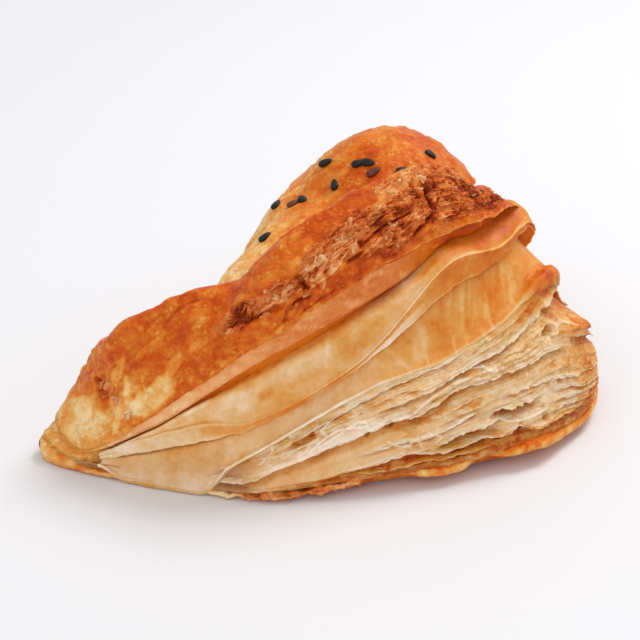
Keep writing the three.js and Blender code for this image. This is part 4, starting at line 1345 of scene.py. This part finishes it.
def add_strands(w):
    for k, turns in enumerate(STRANDS):
        places, shares = np.array(turns).T
        lengths = np.linspace(0, len(turns) - 1, 12 * len(turns))
        line_walk = walk_along(np.interp(lengths, range(len(turns)), places))
        line_share = np.interp(lengths, range(len(turns)), shares)
        line_share = line_share + 0.012 * line_noise(lengths, 1.3, 670 + k, 2)
        near = (w.s.t[:, 0] > places.min() - 0.1) & (w.s.t[:, 0] < places.max() + 0.1)
        away = np.minimum.reduce([
            np.hypot(w.walk[near] - walk, (w.share[near] - share) * w.tall[near])
            for walk, share in zip(line_walk, line_share)
        ])
        strand = fall(away, 0.10, 0.45)
        w.out[near] += strand * (0.35 - np.minimum(w.out[near], 0) * 0.6)
        w.white[near] = np.maximum(w.white[near], strand)
        w.dark[near] *= 1 - strand


def wall_points(w):
    s = w.s
    w.corner_flap = hump(s.t, 7.75, 8.6, 0.25) * hump(w.share, 0.63, 0.70, 0.035)
    w.out += 1.6 * w.corner_flap - layer_undercut(s, w.share)
    ends = step(w.share, 0.0, 0.03) * fall(w.share, 0.97, 1.0)
    inset = layer_face(s, w.share) + 0.35 - w.out * ends + 2.6 * s.hollow * ends
    points = sections_to_points(s, inset, w.height + 0.15 * np.clip(w.out, -1, 1))
    return points + triples(0, 0, 0.05 * fbm(points, 0.9, 451, 2))


def wall_colour(w):
    """The tone, from 0 for pale to 1 for brown, and the painted shade and browning that darken it towards a
    warm brown.
    """
    s = w.s
    tone = 0.29 + 0.07 * wall_noise(w, 9.0, w.level / 1.5, 2, 461, 3) + 0.04 * w.crumbs
    tone += 0.2 * fall(s.t, 1.4, 1.9)
    # The painted shade of recesses, holes and layer edges browns the tone; the white edges are pale.
    tone += 0.50 * w.dark - 0.22 * w.white * (1 - w.dark)
    yellow = hump(s.t, 3.4, 5.6, 0.4) * hump(w.level, 0.8, 5.8, 0.5)
    grey = hump(s.t, 3.9, 5.5, 0.25) * hump(w.level, 6.2, 7.4, 0.35)
    tone += 0.04 * yellow * (1 - w.white) - 0.16 * grey
    tone += 0.22 * step(s.t, 7.5, 8.3) * (1 - 0.6 * w.white) + 0.34 * w.corner_flap
    third_tip = hump(s.t, 7.1, 8.25, 0.35) * step(w.share, 0.84, 0.90)
    tone += (0.42 + 0.12 * w.crumbs) * third_tip
    brown = step(path_at(SEAMS[BROWN_SEAM][0], s.t) - w.share, 0.0, 0.02) * hump(s.t, 4.3, 8.4, 0.3)
    tone = lerp(tone, 0.60 + 0.32 * w.crumbs, 0.85 * brown)
    # The darkening is the painted shade of the seams and hollows, with the browned dough below the lowest
    # seam.
    dim = np.maximum(w.dim, 0.55 * brown * (0.7 + 0.5 * w.crumbs))
    return np.clip(tone, 0, 1), np.clip(dim * (1 - 0.6 * w.white), 0, 1)


def layer_wall(material):
    w = wall_grid()
    for add in (add_layers, add_seams, add_holes, add_strands):
        add(w)
    points = wall_points(w)
    tone, dim = wall_colour(w)
    make_piece("turnover_layers", material, "layers", points, grid_faces(WALL_COLUMNS, WALL_ROWS),
               tone=tone, crumbly=w.crumbly, dim=dim)


def layer_fringes(material):
    """Thin ragged sheets that stand out of the face along its seams."""
    s = section(spaced_places(FRINGE_COLUMNS, 3.4, 12.6, lambda t: 1 + 2.0 * fall(t, 9.2, 10)))
    points = []
    quads = []
    tones = []
    first = 0
    for k, (turns, _, _, frill) in enumerate(SEAMS):
        keep = (s.t[:, 0] > turns[0][0] - 0.1) & (s.t[:, 0] < turns[-1][0] + 0.1)
        part = SimpleNamespace(**{label: value[keep] for label, value in vars(s).items()})
        share, _ = seam_share(k, part)
        fade = path_fade(turns, part.t)
        coarse = line_noise(part.t, 2.2, 500 + k, 2)
        ragged = line_noise(part.t, 15.0, 520 + k, 4)
        undercut = layer_undercut(part, share)
        out = frill * (0.6 + 0.6 * coarse + 1.1 * ragged) * fade - 0.5 * (1 - fade)
        out = np.clip(out, -0.6, 1.6 * frill) * (1 - 0.25 * undercut)
        thick = 0.12 + 0.08 * np.abs(ragged)
        face = layer_face(part, share) + 0.25 + undercut
        height = lerp(part.low - 0.5, part.third, share) + 0.15
        sag = 0.35 * (1 + coarse) * np.clip(out, 0, 2)
        keys = [
            (face + 2.0, height + 0.25),
            (face + 0.3, height + 0.15),
            (face - 0.55 * out, height - 0.3 * sag),
            (face - out, height - sag),
            (face - out + 0.05, height - sag + thick),
            (face - 0.5 * out + 0.1, height - 0.3 * sag + 1.3 * thick),
            (face + 0.4, height + 0.15 + 1.5 * thick),
            (face + 2.0, height + 0.25 + 1.5 * thick),
        ]
        grid = sections_to_points(part, *fine_rows(keys, [1, 2, 2, 1, 2, 2, 1]))
        columns, rows, _ = grid.shape
        rim = hump(np.arange(rows)[None, :], 3.0, 7.0, 1.5)
        tone = 0.20 - 0.18 * rim + 0.05 * coarse + 0.26 * step(part.t, 7.6, 8.4)
        tone = tone + 0.35 * fall(share, 0.10, 0.22) * step(part.t, 4.5, 5.0)
        points.append(grid.reshape(-1, 3))
        tones.append(np.clip(tone, 0, 1).ravel())
        quads.append(grid_faces(columns, rows, first=first))
        first += columns * rows
    make_piece("turnover_fringes", material, "layers", np.concatenate(points), np.concatenate(quads),
               tone=np.concatenate(tones), crumbly=np.full(first, 0.7))


# ---------------------------------------------------------------- seeds


def random_from(seed):
    """The solid's own small random generator, so that the thrown seeds lie where its seeds do."""
    state = seed

    def draw():
        nonlocal state
        state = (state + 0x6D2B79F5) & 0xFFFFFFFF
        t = ((state ^ (state >> 15)) * (1 | state)) & 0xFFFFFFFF
        t = ((t + (((t ^ (t >> 7)) * (61 | t)) & 0xFFFFFFFF)) & 0xFFFFFFFF) ^ t
        return ((t ^ (t >> 14)) & 0xFFFFFFFF) / 4294967296

    return draw


def thrown_places():
    """The set seeds, and those thrown at random over the back of the dome."""
    random = random_from(5)
    sown = list(SET_SEEDS)
    while len(sown) < len(SET_SEEDS) + THROWN_SEEDS:
        angle = 2 * math.pi * random()
        away = SEED_SPREAD * math.sqrt(random())
        heading = 2 * math.pi * random()
        x = DOME.x + away * math.cos(angle)
        y = DOME.y + away * math.sin(angle)
        free = all(math.hypot(x - sx, y - sy) > SEED_SPACING for sx, sy, _ in sown)
        if free and y > DOME.y + SEED_START:
            sown.append((x, y, math.degrees(heading)))
    return sown


def seed_shape(rng):
    """A sesame seed lying along X: a flattened drop, as a round grid and its two end points."""
    u = np.linspace(0, np.pi, SEED_ROWS + 2)[None, 1:-1]
    v = np.linspace(0, 2 * np.pi, SEED_COLUMNS, endpoint=False)[:, None]
    length = SEED.length * (1 + 0.1 * rng.uniform(-1, 1))
    x = -np.cos(u)
    girth = np.sin(u) ** 0.85 * (1 - 0.25 * x)
    z = girth * np.sign(np.sin(v)) * np.abs(np.sin(v)) ** 0.8
    grid = 0.5 * triples(length * x, SEED.width * girth * np.cos(v), SEED.thickness * z)
    return np.concatenate([grid.reshape(-1, 3), [(-0.5 * length, 0, 0), (0.5 * length, 0, 0)]])


def seed_piece(name, places, skin, material):
    """Seeds that lie flat on the skin, each sunk into it a little."""
    rng = np.random.default_rng(17)
    points = []
    for x, y, heading in places:
        hit, normal, _, _ = skin.tree.ray_cast(Vector((x, y, 90)), Vector((0, 0, -1)))
        lie = Vector((0, 0, 1)).rotation_difference(normal).to_matrix().to_4x4()
        turn = Matrix.Rotation(math.radians(heading), 4, "Z")
        centre = hit + normal * (0.5 * SEED.thickness - SEED.sunk)
        place = np.array(Matrix.Translation(centre) @ lie @ turn)
        points.append(seed_shape(rng) @ place[:3, :3].T + place[:3, 3])
    firsts = len(points[0]) * np.arange(len(points))[:, None, None]
    quads = grid_faces(SEED_COLUMNS, SEED_ROWS, closed=True)[:, [0, 3, 2, 1]] + firsts
    fans = end_fans(SEED_COLUMNS, SEED_ROWS)[:, [0, 2, 1]] + firsts
    make_piece(name, material, "seeds", np.concatenate(points), quads.reshape(-1, 4), fans.reshape(-1, 3))


# ---------------------------------------------------------------- build

crust_look = crust_material()
sheet_look = sheet_material()
skin = crust_skin(crust_look)
torn_cover(skin, crust_look)
flake_piece(skin, flake_material())
lip_sheet(sheet_look)
third_sheet(sheet_look)
base_crust(crust_look)
layer_wall(sheet_look)
layer_fringes(sheet_look)
for seed_colour, places, dark, light in (
    ("black", thrown_places(), (16, 16, 18), (40, 38, 40)),
    ("brown", BROWN_SEEDS, (70, 38, 28), (120, 70, 50)),
):
    look = seed_material("turnover_seed_" + seed_colour, dark, light)
    seed_piece("turnover_seeds_" + seed_colour, places, skin, look)

# ---------------------------------------------------------------- floor, light and camera

FLOOR_REACH = 3000.0
floor_corners = [(FLOOR_REACH * x, FLOOR_REACH * y, 0) for x, y in ((-1, -1), (1, -1), (1, 1), (-1, 1))]
floor_mesh = make_mesh("floor", floor_corners, np.array([[0, 1, 2, 3]]), NO_TRIANGLES, {})
floor_look = Nodes("floor").finish(srgb(233, 233, 236), 0.6, None, specular=0.1, soak=0.0)
make_object(floor_mesh, floor_look)

world = bpy.data.worlds.new("studio")
bpy.context.scene.world = world
world.use_nodes = True
world.node_tree.nodes["Background"].inputs["Color"].default_value = (1, 1, 1, 1)
world.node_tree.nodes["Background"].inputs["Strength"].default_value = 0.66


def area_light(name, place, size, power):
    """A round soft light that shines on the turnover's middle."""
    light = bpy.data.lights.new(name, "AREA")
    light.shape = "DISK"
    light.size = size
    light.energy = power
    lamp = bpy.data.objects.new(name, light)
    bpy.context.scene.collection.objects.link(lamp)
    lamp.location = place
    lamp.rotation_euler = (Vector((0, 0, 0.02)) - Vector(place)).to_track_quat("-Z", "Y").to_euler()


area_light("key", (0.36, 0.22, 0.74), size=0.40, power=3.8)
area_light("fill", (-0.3, -0.8, 0.5), size=0.8, power=1.7)

CAMERA_TILT = math.radians(25.0)
CAMERA_DISTANCE = 0.450
CAMERA_FOCAL = 2070.0  # in pixels of a picture IMAGE_WIDTH wide
IMAGE_WIDTH = 640.0
SENSOR = 36.0
aim = Vector((np.array([0.0, 40.0, 21.0]) - MIDDLE) / 1000)  # the point in the middle of the view
camera_data = bpy.data.cameras.new("camera")
camera_data.sensor_width = SENSOR
camera_data.lens = CAMERA_FOCAL / IMAGE_WIDTH * SENSOR
camera = bpy.data.objects.new("camera", camera_data)
bpy.context.scene.collection.objects.link(camera)
camera.location = aim + CAMERA_DISTANCE * Vector((0, -math.cos(CAMERA_TILT), math.sin(CAMERA_TILT)))
camera.rotation_euler = (math.pi / 2 - CAMERA_TILT, 0, 0)
bpy.context.scene.camera = camera
bpy.context.scene.view_settings.view_transform = "Standard"
